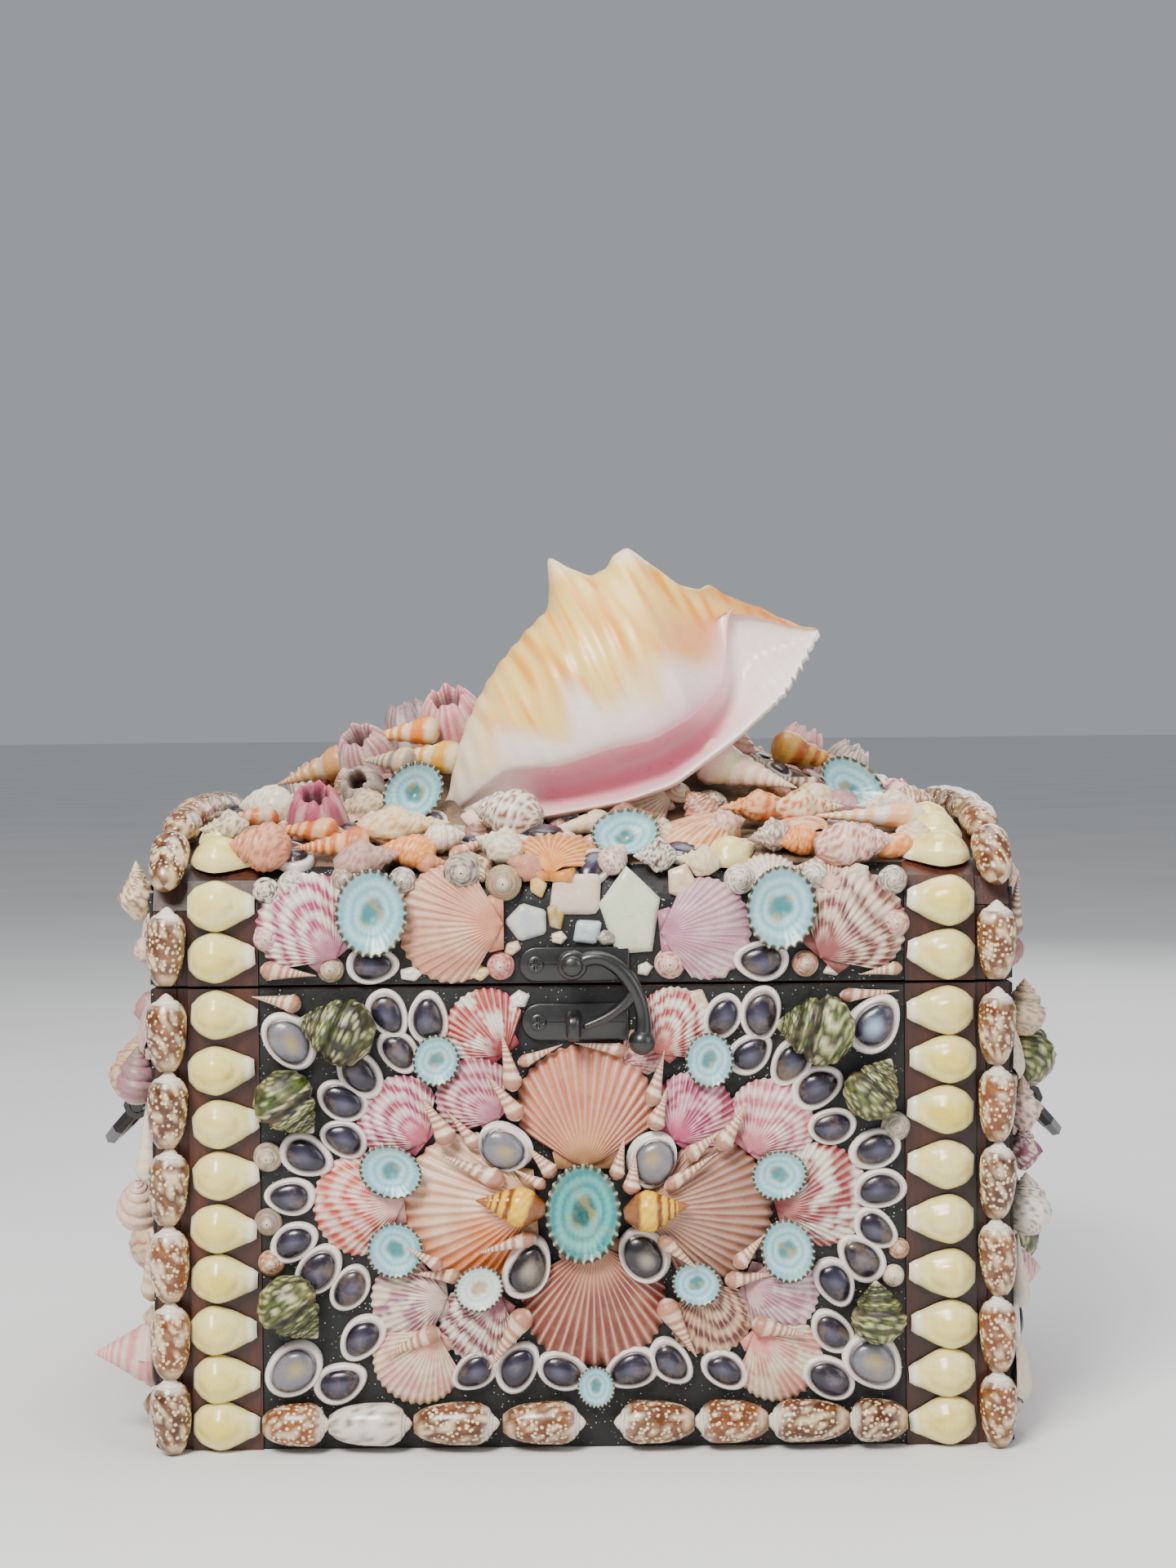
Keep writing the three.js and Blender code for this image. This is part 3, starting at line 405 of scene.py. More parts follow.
# Black painted iron, worn to a warm grey here and there.
IRON = worn_material(
    "black_iron", (120.0, 4.0), (800.0, 6.0, 0.7),
    [(0.4, rgb(0.05, 0.05, 0.055)), (0.65, rgb(0.08, 0.078, 0.075)), (0.85, rgb(0.17, 0.14, 0.12))],
    0.35, [(0.3, 0.5), (0.6, 1.0)], [(0.3, 0.3), (0.7, 0.48)], 0.1, (0.6, 0.2))


# ---------- shell forms: each returns points, faces, colours and spots, lying along x on z = 0 ----------
def whorled(length, width, paint, profile, turns=5, growth=1.5, last=0.62, seam=0.1, columns=20, steps=6,
            ribs=0, rib_depth=0.0, cords=0, cord_depth=0.0, knobs=0, knob_depth=0.0, squash=0.92, seed=0):
    """A snail lying on its mouth, its tip at +x: whorls down a profile, with a sunk seam between them."""
    spire = last * growth ** -np.arange(turns, 0, -1 / steps)
    along = np.r_[0.0, spire, np.linspace(last, 1, 11), 1][:, None]
    theta = np.linspace(0, TAU, columns + 1)[None, :]
    phase = np.log(np.maximum(along, spire[0] * 0.9) / last) / math.log(growth) + theta / TAU
    wound = np.where(phase < 0, phase % 1, np.clip(phase, 0, 1.9) / 1.9)
    pinch = np.where(phase < 0, 1 - np.sin(math.pi * wound) ** 0.55, np.clip(1 - phase * 4, 0, 1) ** 2)
    stops, radii = zip(*profile)
    radius = np.interp(along, stops, radii) * (1 - seam * pinch)
    swell = np.where(phase < 0, np.sin(math.pi * wound), np.clip(1.2 - along, 0, 1))
    ribbed = 1 + rib_depth * np.cos(ribs * theta) * swell
    radius = radius * (ribbed + cord_depth * np.cos(cords * TAU * wound))
    at_shoulder = np.exp(-((wound - 0.42) / 0.2) ** 2)
    radius = radius * (1 + knob_depth * at_shoulder * np.clip(np.cos(knobs * theta), 0, 1) ** 2)
    radius[-1] = 0
    x = (0.5 - along) * length + 0 * theta
    y = -radius * np.sin(theta) * width / 2
    z = -radius * np.cos(theta) * width / 2 * squash
    places = np.stack([x, y, z - z.min() * 0.86], -1)
    psi = math.pi * (wound - 0.5)
    tint, spots = paint(1 - along + 0 * theta, TAU * phase, psi, seed)
    return places, grid_faces(*x.shape, False)[:, ::-1], tint, spots


def dome(length, width, height, paint, outline, profile, around=28, rings=9, seed=0, foot=1.0):
    """A form over an outline: profile(rho, phi) gives its height from the rim, 1, to the middle, 0."""
    phi = np.linspace(0, TAU, around, endpoint=False)[None, :]
    rho = np.linspace(1, 0, rings)[:, None]
    edge = outline(phi)
    x = rho * edge * np.cos(phi) * length / 2
    y = rho * edge * np.sin(phi) * width / 2
    z = profile(rho, phi) * height + 0 * x
    skirt = np.stack([x[:1] * foot, y[:1] * foot, np.zeros_like(x[:1])], -1)
    places = np.concatenate([skirt, np.stack([x, y, z], -1)])
    full = np.concatenate([rho[:1], rho]) + 0 * phi
    tint, spots = paint(full, phi + 0 * full, seed)
    tint = np.array(np.broadcast_to(tint, places.shape))
    if foot < 1:
        tint[0] = mix(tint[0], rgb(0.5, 0.46, 0.38), 0.7 + 0 * x[0])
    return places, grid_faces(rings + 1, around, True), tint, spots


# ---------- paints ----------
WHITE = rgb(0.93, 0.9, 0.85)
CREAM = rgb(0.93, 0.87, 0.74)


def olive_paint(x, theta, psi, seed):
    """Brown with pale spots and streaks, a white spire and a striped foot."""
    rng = np.random.default_rng(seed)
    body = mix(rgb(0.46, 0.25, 0.12), rgb(0.27, 0.13, 0.07), rng.uniform(0, 1) + 0 * x)
    body = mix(body, rgb(0.7, 0.5, 0.34), 0.4 * smooth(0.1, 0.9, waves(theta * 1.3, x * 3, seed)))
    body = mix(body, rgb(0.88, 0.8, 0.68), smooth(0.35, 0.75, waves(theta * 3.5, x * 7, seed + 2)))
    tint = mix(body, WHITE, smooth(0.84, 0.88, x + 0.012 * np.sin(theta * 3)))
    foot = mix(rgb(0.8, 0.7, 0.58), rgb(0.4, 0.26, 0.17), smooth(-0.2, 0.5, np.sin(x * 150 + theta * 2.2)))
    tint = mix(foot, tint, smooth(0.07, 0.13, x + 0.04 * np.cos(theta)))
    return tint, smooth(0.1, 0.16, x) * (1 - smooth(0.82, 0.86, x))


def pale_olive_paint(x, theta, psi, seed):
    """Greyish white under a net of brown marks."""
    net = smooth(0.3, 0.05, np.abs(waves(theta * 3.2, x * 9, seed))) * smooth(0.92, 0.84, x)
    return mix(rgb(0.88, 0.85, 0.8), rgb(0.33, 0.25, 0.22), 0.8 * net), np.zeros_like(x)


def banded(base, seam, deep=None, pale=0.0):
    """A spire of one colour with a pale seam under each whorl."""
    def paint(x, theta, psi, seed):
        rng = np.random.default_rng(seed)
        own = mix(base, deep if deep is not None else base * 0.7, rng.uniform(0, 0.6) + 0 * x)
        own = mix(own, WHITE, pale * smooth(-0.2, 0.9, waves(theta * 1.5, psi, seed)))
        tint = mix(own, seam, smooth(0.55, 0.9, np.abs(np.sin(psi))))
        return tint, np.zeros_like(x)
    return paint


def mottled(base, marks, scale=1.0, tip=None, cover=0.0, spots=0.0):
    """A snail of one colour with blotches of another."""
    def paint(x, theta, psi, seed):
        tint = mix(base, marks, smooth(0.05 - cover, 0.4 - cover, waves(theta * 1.6, psi * 1.4, seed, scale)))
        if tip is not None:
            tint = mix(tint, tip, smooth(0.78, 0.95, x))
        return tint, spots + np.zeros_like(x)
    return paint


def turban_paint(x, theta, psi, seed):
    """Green marbled with dark brown and cream."""
    u, v = theta * 1.7, psi * 0.8
    tint = mix(rgb(0.22, 0.27, 0.13), rgb(0.4, 0.45, 0.24), smooth(-0.5, 0.5, waves(u, v, seed)))
    tint = mix(tint, rgb(0.13, 0.1, 0.07), smooth(0.0, 0.35, waves(u * 1.4, v * 1.6, seed + 5)))
    tint = mix(tint, rgb(0.8, 0.79, 0.62), smooth(0.45, 0.7, waves(u * 2.2, v * 1.7, seed + 9)))
    tint = tint * (1 - 0.3 * smooth(0.2, 0.9, np.cos(psi * 12)))[..., None]
    # Near-black along the sunk seam between whorls: painted shade.
    tint = mix(tint, rgb(0.1, 0.09, 0.06), 0.85 * smooth(0.86, 0.98, np.abs(np.sin(psi))))
    return mix(tint, rgb(0.88, 0.84, 0.72), smooth(0.92, 0.98, x)), np.zeros_like(x)


def mitre_paint(x, theta, psi, seed):
    """Yellow with an orange-brown band and seam, and a brown tip."""
    tint = mix(rgb(0.88, 0.68, 0.26), rgb(0.95, 0.8, 0.4), smooth(-0.5, 0.5, np.cos(theta * 9)))
    tint = mix(tint, rgb(0.48, 0.26, 0.12), smooth(0.72, 0.9, np.abs(np.sin(psi + 0.3))))
    return mix(tint, rgb(0.6, 0.34, 0.2), smooth(0.72, 0.9, x)), np.zeros_like(x)


# ---------- cowries ----------
def money_cowrie(length=23.6, width=17.8, seed=0):
    """Cornered and yellow: narrow flared white end at +x, blunt end at -x, a raised back."""
    rng = np.random.default_rng(seed)
    along = np.linspace(0, 1, 33)[:, None]
    across = np.linspace(0, math.pi, 19)[None, :]
    corner, lean = 0.38 + rng.uniform(-0.04, 0.04), rng.uniform(-0.07, 0.07)
    stops = [0, 0.04, 0.13, corner - 0.1, corner, corner + 0.12, 0.66, 0.79, 0.88, 0.95, 1.0]
    widths = [0.34, 0.58, 0.8, 0.98, 1.04, 0.97, 0.81, 0.63, 0.5, 0.48, 0.26]
    heights = [0.16, 0.4, 0.68, 0.94, 1.0, 0.94, 0.78, 0.56, 0.4, 0.36, 0.14]
    half = sum(np.interp(along + slip, stops, widths) for slip in (-0.05, -0.025, 0, 0.025, 0.05)) / 5
    half = half * (1 + lean * np.cos(across))
    rise = np.interp(along, stops, heights)
    x = (along - 0.5) * length + 0 * across
    y = half * np.cos(across) * width / 2
    z = rise * np.sin(across) ** 0.8 * width * 0.45
    ring = np.hypot((along - 0.4) / 0.33, np.cos(across) * half / 0.6)
    z = z - 0.5 * np.exp(-((ring - 1) / 0.14) ** 2) * np.sin(across) + 0.5 * smooth(1.0, 0.5, ring)
    crease = np.exp(-((np.cos(across) * half + 0.22 + 0.14 * np.sin(along * 7 + seed)) / 0.05) ** 2)
    z = z - 0.25 * crease * smooth(1.3, 0.6, ring)
    pale, deep = rgb(0.96, 0.93, 0.75), rgb(0.93, 0.85, 0.46)
    tint = mix(pale, deep, 0.35 + 0.65 * rng.uniform(0, 1) * smooth(1.5, 0.3, ring))
    cloud = smooth(-0.1, 0.8, waves(along * 3 + 0 * across, across + 0 * along, seed))
    tint = mix(tint, rgb(0.84, 0.72, 0.3), 0.3 * cloud * smooth(1.2, 0.7, ring) + 0.2 * crease)
    ends = 0.9 * smooth(0.82, 0.93, along) + 0.5 * smooth(0.09, 0.02, along)
    tint = mix(tint, rgb(0.97, 0.95, 0.88), ends + 0 * ring)
    places = np.stack([x, y, z], -1)
    return places, grid_faces(*x.shape, False), tint, np.zeros_like(x)


def ring_cowrie(length, width, seed=0, crown=None, lit_centre=None, offset=0.0):
    """A cowrie ground open: a dark dome inside a white rim."""
    rng = np.random.default_rng(seed)
    crown = rgb(0.13, 0.11, 0.16) if crown is None else crown
    # A lighter centre colour: painted highlight on the top of the dome.
    lit_centre = rgb(0.29, 0.28, 0.35) if lit_centre is None else lit_centre
    inner = 0.75 + rng.uniform(-0.03, 0.04)

    def outline(phi):
        return 1 - 0.05 * np.cos(phi) - 0.07 * np.sin(phi) ** 2 * np.cos(phi) + 0.03 * np.cos(3 * phi + seed)

    def radius(rho, phi):
        return rho * (1 + offset * np.cos(phi - 1.2))

    def profile(rho, phi):
        r = radius(rho, phi)
        rim = 0.62 * np.sqrt(np.clip(1 - ((r - 0.86) / 0.2) ** 2, 0, 1))
        groove = -0.08 * np.exp(-((r - inner) / 0.05) ** 2)
        back = 0.5 + 0.5 * np.sqrt(np.clip(1 - (r / (inner + 0.03)) ** 2, 0, 1))
        return np.where(r > inner, np.maximum(rim, 0.3), back) + groove

    def paint(rho, phi, _):
        r = radius(rho, phi)
        # Crown colour blending into the lighter centre: painted highlight on the dome's top.
        top = mix(crown, lit_centre, smooth(0.5, 0.0, r + 0.1 * np.cos(phi + seed)))
        # Near-black where the dome turns down into the groove: painted shade.
        top = mix(top, rgb(0.08, 0.06, 0.09), smooth(inner - 0.12, inner - 0.02, r))
        outward = smooth(inner, 0.93, r + 0.04 * np.sin(phi * 2 + seed))
        rim = mix(rgb(0.72, 0.68, 0.66), rgb(0.93, 0.9, 0.88), outward)
        return mix(top, rim, smooth(inner - 0.015, inner + 0.02, r)), np.zeros_like(r)

    return dome(length, width, width * 0.42, paint, outline, profile, 32, 15, seed)


# ---------- limpets, scallops, barnacles and chips ----------
LIMPET_TEAL = (rgb(0.2, 0.5, 0.5), rgb(0.4, 0.7, 0.68), rgb(0.1, 0.33, 0.32))
LIMPET_BLUE = (rgb(0.5, 0.7, 0.74), rgb(0.7, 0.84, 0.87), rgb(0.3, 0.52, 0.53))
LIMPET_PALE = (rgb(0.78, 0.84, 0.82), rgb(0.86, 0.9, 0.88), rgb(0.72, 0.68, 0.58))


def limpet(length, width, hues=LIMPET_BLUE, seed=0, depth=0.2):
    """A limpet glued on its point: a bowl with a dark saw-toothed rim."""
    rng = np.random.default_rng(seed)
    teeth = int(rng.integers(22, 30))
    main, pale, heart = hues

    def outline(phi):
        return 1 + 0.022 * np.cos(teeth * phi) + 0.02 * np.cos(2 * phi + seed)

    def profile(rho, phi):
        bowl = 0.25 + 0.75 * rho ** 1.7
        return bowl + 0.03 * np.cos(teeth * phi) * rho ** 6 - 0.12 * np.exp(-(rho / 0.2) ** 2)

    def paint(rho, phi, _):
        wave = 0.03 * np.sin(phi * 2 + seed) + 0.012 * np.sin(phi * 5 + seed)
        tint = mix(main, pale, 0.5 + 0.5 * np.sin((rho + wave) * 21))
        tint = mix(tint, heart, smooth(0.42, 0.2, rho + wave * 1.5))
        tint = mix(tint, pale, 0.9 * np.exp(-((rho - 0.46 + wave) / 0.035) ** 2))
        gold = smooth(0.25, 0.6, waves(rho * 2.2 * np.cos(phi), rho * 2.2 * np.sin(phi), seed + 3))
        tint = mix(tint, rgb(0.72, 0.62, 0.36), 0.45 * gold * smooth(0.5, 0.3, rho))
        rim = mix(rgb(0.16, 0.17, 0.13), rgb(0.7, 0.7, 0.58), smooth(0.1, 0.9, np.cos(teeth * phi)))
        return mix(tint, rim, smooth(0.86, 0.93, rho)), np.zeros_like(rho)

    return dome(length, width, max(length, width) * depth, paint, outline, profile, teeth * 4, 18, seed, 0.4)


FAN_HALF_ANGLE = math.radians(58)


def scallop(length, base, marks, style, ribs, seed=0, hinge=None, rise=0.19):
    """A scallop valve: hinge and ears at -x, ribs fanning out to a scalloped edge at +x."""
    columns, rows = ribs * 5 + 1, 16
    fan = np.linspace(-1, 1, columns)[None, :]
    angle = fan * FAN_HALF_ANGLE
    rho = np.linspace(0, 1, rows)[:, None]
    comb = np.cos(ribs * math.pi * fan)
    edge = np.cos(angle) ** 0.9 * (1 + 0.012 * comb)
    x = rho * edge * np.cos(angle)
    y = rho * edge * np.sin(angle) * 1.08
    crown = (1 - rho**2.1) * (0.5 + 0.5 * smooth(0, 0.28, rho)) * np.cos(angle * 1.25) ** 0.5
    z = rise * crown + 0.016 * comb * rho**0.8 * (1 - 0.3 * rho) + 0.02
    blotch = waves(rho * 2.4 + 0 * fan, fan * 2.2, seed)
    if style == "dash":
        step = np.floor((fan + 1) * ribs / 2 + 0.5)
        blotch = np.sin(rho * 26 + np.sin(step * 12.9898 + seed) * 3.0) + 0.3 * waves(rho * 4, fan * 3, seed)
        share = smooth(-0.1, 0.3, blotch)
    elif style == "blotch":
        share = smooth(-0.05, 0.25, blotch + 0.35 * np.sin(rho * 40 + fan * 9))
    elif style == "rays":
        share = smooth(0.1, 0.7, comb + 0.5 * blotch)
    elif style == "fade":
        share = smooth(-0.5, 0.9, fan * 1.1 + 0.3 * blotch + 0 * rho)
    else:
        share = 0.35 * smooth(-0.3, 0.8, blotch)
    tint = mix(base, marks, share + 0 * x)
    bands = 0.5 + 0.5 * np.sin(rho * 30 + 2 * blotch)
    ages = smooth(0.55, 0.95, np.sin(rho * 13 + 0.6 * np.sin(fan * 3 + seed)))
    tint = mix(tint, marks * 0.8, 0.3 * ages * smooth(0.35, 0.7, rho))
    # Darker in the grooves between the ribs, full tone on their crests: painted shade; the bands add the
    # shell's faint growth rings.
    tint = tint * (0.86 + 0.14 * comb + 0.05 * bands)[..., None]
    tint = mix(tint, WHITE, 0.35 * smooth(0.3, 1, comb) * smooth(0.1, 0.4, rho))
    if hinge is not None:
        tint = mix(tint, hinge, smooth(0.5, 0.12, rho) + 0 * x)
    places = np.stack([(x - 0.5) * length, y * length, z * length], -1)
    rim = places[-1:].copy()
    rim[..., 2] = 0
    places = np.concatenate([places, rim])
    # The edge's face down to the bed takes the rim colour darkened: painted shade.
    tint = np.concatenate([tint, tint[-1:] * 0.6])
    faces = grid_faces(rows + 1, columns, False)
    ears, ear_faces, ear_tint = ears_of(length, tint[2].mean(0), len(places) * columns, rise)
    flat = np.concatenate([places.reshape(-1, 3), ears])
    tint = np.concatenate([tint.reshape(-1, 3), ear_tint])
    return flat, np.concatenate([faces, ear_faces]), tint, np.zeros(len(flat))


def ears_of(length, tint, first, rise):
    """The two flat wings beside the hinge."""
    points, faces = [], []
    for side in (-1, 1):
        corners = [(-0.5, 0.0), (-0.5, 0.24), (-0.37, 0.27), (-0.3, 0.2)]
        start = first + len(points)
        for level in (0.0, rise * 0.42):
            points += [(x * length, side * y * length, level * length) for x, y in corners]
        top = [start + 4, start + 5, start + 6, start + 7]
        faces.append(top if side > 0 else top[::-1])
        for i in range(4):
            j = (i + 1) % 4
            quad = [start + i, start + j, start + 4 + j, start + 4 + i]
            faces.append(quad if side > 0 else quad[::-1])
    return np.array(points), np.array(faces), np.tile(tint * 0.92, (len(points), 1))


def barnacle(size, base, marks, seed=0, tall=0.85, mouth=0.42):
    """An acorn barnacle: ribbed plates round an open mouth with a jagged rim."""
    rng = np.random.default_rng(seed)
    around = 48
    phi = np.linspace(0, TAU, around, endpoint=False)[None, :]
    levels = [(0.0, 1.0), (0.25, 1.04), (0.5, 0.96), (0.75, 0.82), (1.0, mouth + 0.14), (0.97, mouth + 0.06),
              (0.8, mouth), (0.5, mouth * 0.8), (0.3, mouth * 0.5), (0.3, 0.0)]
    height = np.array([level for level, _ in levels])[:, None]
    radius = np.array([reach for _, reach in levels])[:, None]
    plates = int(rng.integers(5, 7))
    ridge = 0.035 * np.cos(phi * 21) + 0.05 * np.abs(np.cos(phi * plates / 2 + seed))
    jag = 0.1 * np.abs(np.sin(phi * plates / 2 + seed)) + 0.03 * np.sin(phi * 9 + seed)
    outside = np.arange(len(levels))[:, None] < 6
    radius = radius * (1 + ridge * outside)
    z = height * tall + jag * (height > 0.7)
    places = np.stack([radius * np.cos(phi) * size / 2, radius * np.sin(phi) * size / 2, z * size], -1)
    streak = 0.5 + 0.5 * np.cos(phi * 21 + np.sin(phi * 3 + seed)) + 0 * height
    tint = mix(base, marks, streak * 0.8)
    tint = mix(tint, WHITE, 0.5 * smooth(0.75, 1.0, np.abs(np.cos(phi * plates / 2 + seed))) * (height < 0.9))
    # Plum-brown darkening deeper down inside the mouth: painted shade.
    tint = mix(tint, rgb(0.25, 0.14, 0.16), (~outside) * smooth(1, 0.6, height) + 0 * phi)
    return places, grid_faces(len(levels), around, True), tint, np.zeros(places.shape[:2])


def chip(length, width, colour, seed=0, thick=2.4):
    """A worn chip of mother-of-pearl or sea glass."""
    rng = np.random.default_rng(seed)
    corners = int(rng.integers(4, 6))

    def outline(phi):
        turn = (phi + seed) % (TAU / corners) - math.pi / corners
        return np.clip(0.82 / np.cos(turn), 0, 1.06) * (1 + 0.05 * np.cos(phi + seed))

    def profile(rho, phi):
        return 0.35 + 0.65 * (1 - rho**5) + 0.1 * np.cos(rho * 3 + phi + seed)

    def paint(rho, phi, _):
        tint = mix(colour, WHITE, 0.35 * smooth(-0.2, 0.8, waves(rho * np.cos(phi), rho * np.sin(phi), seed)))
        return tint, np.zeros_like(rho)

    return dome(length, width, thick, paint, outline, profile, 30, 7, seed)


# ---------- snails of each kind ----------
PINK_TAN, SEAM = rgb(0.72, 0.53, 0.45), rgb(0.93, 0.84, 0.75)
# Profiles of snails: place along from the tip, share of the width.
BARREL = [(0, 0.05), (0.03, 0.24), (0.08, 0.42), (0.12, 0.68), (0.18, 0.9), (0.3, 1), (0.6, 0.97),
          (0.8, 0.84), (0.93, 0.64), (1, 0.42)]
NEEDLE = [(0, 0.03), (0.5, 0.56), (0.84, 1), (0.93, 0.8), (1, 0.3)]
SPINDLE = [(0, 0.02), (0.3, 0.5), (0.5, 0.86), (0.62, 1), (0.78, 0.86), (0.92, 0.5), (1, 0.3)]
GLOBE = [(0, 0.04), (0.15, 0.4), (0.3, 0.7), (0.5, 0.95), (0.66, 1), (0.84, 0.84), (1, 0.4)]
CONE = [(0, 0.02), (0.35, 0.42), (0.7, 0.84), (0.86, 1), (0.94, 0.94), (1, 0.5)]
BUTTON = [(0, 0.05), (0.2, 0.42), (0.45, 0.76), (0.7, 0.97), (0.85, 1), (1, 0.7)]


def olive(length=27.6, width=13.6, seed=0, paint=olive_paint):
    return whorled(length, width, paint, BARREL, 3, 1.6, 0.14, 0.16, 24, 6, squash=0.95, seed=seed)


def auger(length, width, seed=0, base=PINK_TAN):
    paint = banded(base, SEAM, base * 0.72)
    return whorled(length, width, paint, NEEDLE, 9, 1.25, 0.8, 0.13, 12, 5, 11, 0.03, squash=1.0, seed=seed)


def mitre(length, width, seed=0, paint=mitre_paint):
    return whorled(length, width, paint, SPINDLE, 6, 1.42, 0.56, 0.12, 20, 6, 13, 0.04,
                   squash=0.95, seed=seed)


def turban(length, width, seed=0, paint=turban_paint):
    return whorled(length, width, paint, GLOBE, 4, 1.75, 0.6, 0.2, 28, 10, cords=6, cord_depth=0.03,
                   knobs=13, knob_depth=0.05, squash=0.9, seed=seed)


def murex(length, width, seed, base, marks, knobs=9, depth=0.22):
    paint = mottled(base, marks, 1.2, tip=base)
    return whorled(length, width, paint, SPINDLE, 5, 1.55, 0.5, 0.14, 27, 6, cords=4, cord_depth=0.03,
                   knobs=knobs, knob_depth=depth, seed=seed)


def turret(length, width, seed, paint, knobs, ribs):
    return whorled(length, width, paint, CONE, 7, 1.32, 0.72, 0.14, 22, 6, ribs, 0.05, 3, 0.025, knobs,
                   knob_depth=0.14, squash=0.95, seed=seed)


def upright(shell):
    """A snail stood on its mouth, so that it is seen on its point."""
    points, *rest = shell
    raised = points[..., [2, 1, 0]] * (-1, 1, 1)
    raised = raised - (raised.reshape(-1, 3).max(0) + raised.reshape(-1, 3).min(0)) / 2 * (1, 1, 0)
    raised[..., 2] -= raised[..., 2].min()
    return raised, *rest


def button(size, seed, base, marks, tall=0.6):
    paint = mottled(base, marks, 1.6, tip=rgb(0.85, 0.8, 0.74))
    return upright(whorled(size * tall, size, paint, BUTTON, 4, 1.7, 0.85, 0.14, 22, 5, cords=3,
                           cord_depth=0.03, squash=1, seed=seed))


# ---------- colours of the layout ----------
RED, CRIMSON, MAUVE = rgb(0.74, 0.3, 0.28), rgb(0.55, 0.12, 0.2), rgb(0.72, 0.45, 0.55)
PINK, SALMON, ORANGE = rgb(0.88, 0.62, 0.62), rgb(0.87, 0.62, 0.5), rgb(0.9, 0.55, 0.3)
ROSE_BROWN, PLUM, GREY = rgb(0.66, 0.42, 0.36), rgb(0.42, 0.18, 0.28), rgb(0.55, 0.52, 0.48)
SAND, BLUSH = rgb(0.85, 0.75, 0.63), rgb(0.93, 0.8, 0.76)

# Front: x and height of the middle, length, turn of the fan, lift, base, marks, pattern, ribs, hinge colour.
FRONT_SCALLOPS = [
    (1, 120.5, 43, 90, 0.5, (0.84, 0.55, 0.44), (0.72, 0.38, 0.3), "rays", 21, (0.85, 0.66, 0.5)),
    (3.5, 51.5, 45, -90, 0.5, (0.55, 0.3, 0.26), (0.7, 0.47, 0.4), "rays", 22, (0.8, 0.6, 0.5)),
    (-40, 85.5, 47, 184, 0.5, (0.93, 0.8, 0.7), (0.86, 0.48, 0.25), "fade", 20, (0.9, 0.72, 0.6)),
    (43.5, 84, 45, -4, 0.5, (0.7, 0.5, 0.42), (0.56, 0.36, 0.3), "rays", 23, (0.8, 0.66, 0.58)),
    (-34.3, 149.2, 25, 128, 1, (0.68, 0.24, 0.24), (0.93, 0.9, 0.85), "blotch", 19, (0.6, 0.25, 0.28)),
    (-38.2, 125.2, 25, 140, 2, (0.84, 0.66, 0.7), (0.62, 0.25, 0.35), "dash", 19, (0.72, 0.48, 0.55)),
    (-64.7, 117.5, 27, 140, 1, (0.92, 0.82, 0.82), (0.64, 0.22, 0.36), "dash", 20, (0.78, 0.42, 0.5)),
    (-78.6, 86.5, 32, 186, 0.5, (0.93, 0.8, 0.75), (0.82, 0.33, 0.27), "dash", 21, (0.88, 0.7, 0.68)),
    (-61.1, 52.7, 27, 186, 1, (0.9, 0.83, 0.76), (0.62, 0.42, 0.48), "blotch", 19, (0.8, 0.7, 0.68)),
    (-37, 44.2, 26, -128, 1.5, (0.93, 0.9, 0.85), (0.48, 0.2, 0.28), "dash", 20, (0.62, 0.4, 0.45)),
    (-59.1, 30.4, 28, -122, 0.5, (0.93, 0.86, 0.74), (0.9, 0.7, 0.66), "blotch", 20, (0.88, 0.66, 0.6)),
    (33.5, 149.7, 25, 52, 1, (0.93, 0.9, 0.85), (0.66, 0.2, 0.24), "dash", 20, (0.75, 0.45, 0.42)),
    (21, 139.5, 15, 30, 0, (0.9, 0.72, 0.7), (0.6, 0.3, 0.34), "blotch", 13, None),
    (39.5, 118.8, 26, 52, 2, (0.88, 0.66, 0.72), (0.62, 0.22, 0.36), "blotch", 20, (0.74, 0.36, 0.48)),
    (66.3, 115.1, 28, 52, 1, (0.93, 0.8, 0.8), (0.78, 0.45, 0.5), "dash", 20, (0.8, 0.5, 0.55)),
    (83.2, 89, 33, 16, 0.5, (0.58, 0.2, 0.22), (0.93, 0.9, 0.85), "blotch", 21, (0.62, 0.35, 0.35)),
    (68.5, 53.8, 27, -25, 1, (0.88, 0.78, 0.8), (0.7, 0.5, 0.56), "blotch", 20, (0.75, 0.6, 0.62)),
    (44.4, 46.5, 27, -75, 1.5, (0.86, 0.72, 0.6), (0.42, 0.2, 0.2), "dash", 20, (0.6, 0.4, 0.38)),
    (68.4, 30.6, 28, -52, 0.5, (0.92, 0.85, 0.76), (0.85, 0.62, 0.56), "blotch", 20, (0.86, 0.58, 0.56)),
]
# x, height, length, width, turn, lift, colours.
FRONT_LIMPETS = [
    (0, 85, 34, 26.5, 90, 7, LIMPET_TEAL), (-50.8, 137.6, 17.6, 16.4, 90, 3, LIMPET_BLUE),
    (-66.8, 99.3, 22.5, 18, -15, 5, LIMPET_BLUE), (-65.6, 71.6, 20, 19, 90, 4, LIMPET_BLUE),
    (-36.5, 58.2, 17.5, 15.5, 20, 6, LIMPET_PALE), (3.9, 22.7, 14.5, 13, 90, 3, LIMPET_BLUE),
    (44.3, 137.1, 19, 17, 90, 4, LIMPET_BLUE), (68.3, 96.9, 19, 17.5, 20, 5, LIMPET_BLUE),
    (71, 70.3, 22.5, 18.5, 110, 4, LIMPET_BLUE), (39.2, 59.2, 17.5, 15, -15, 6, LIMPET_BLUE),
]
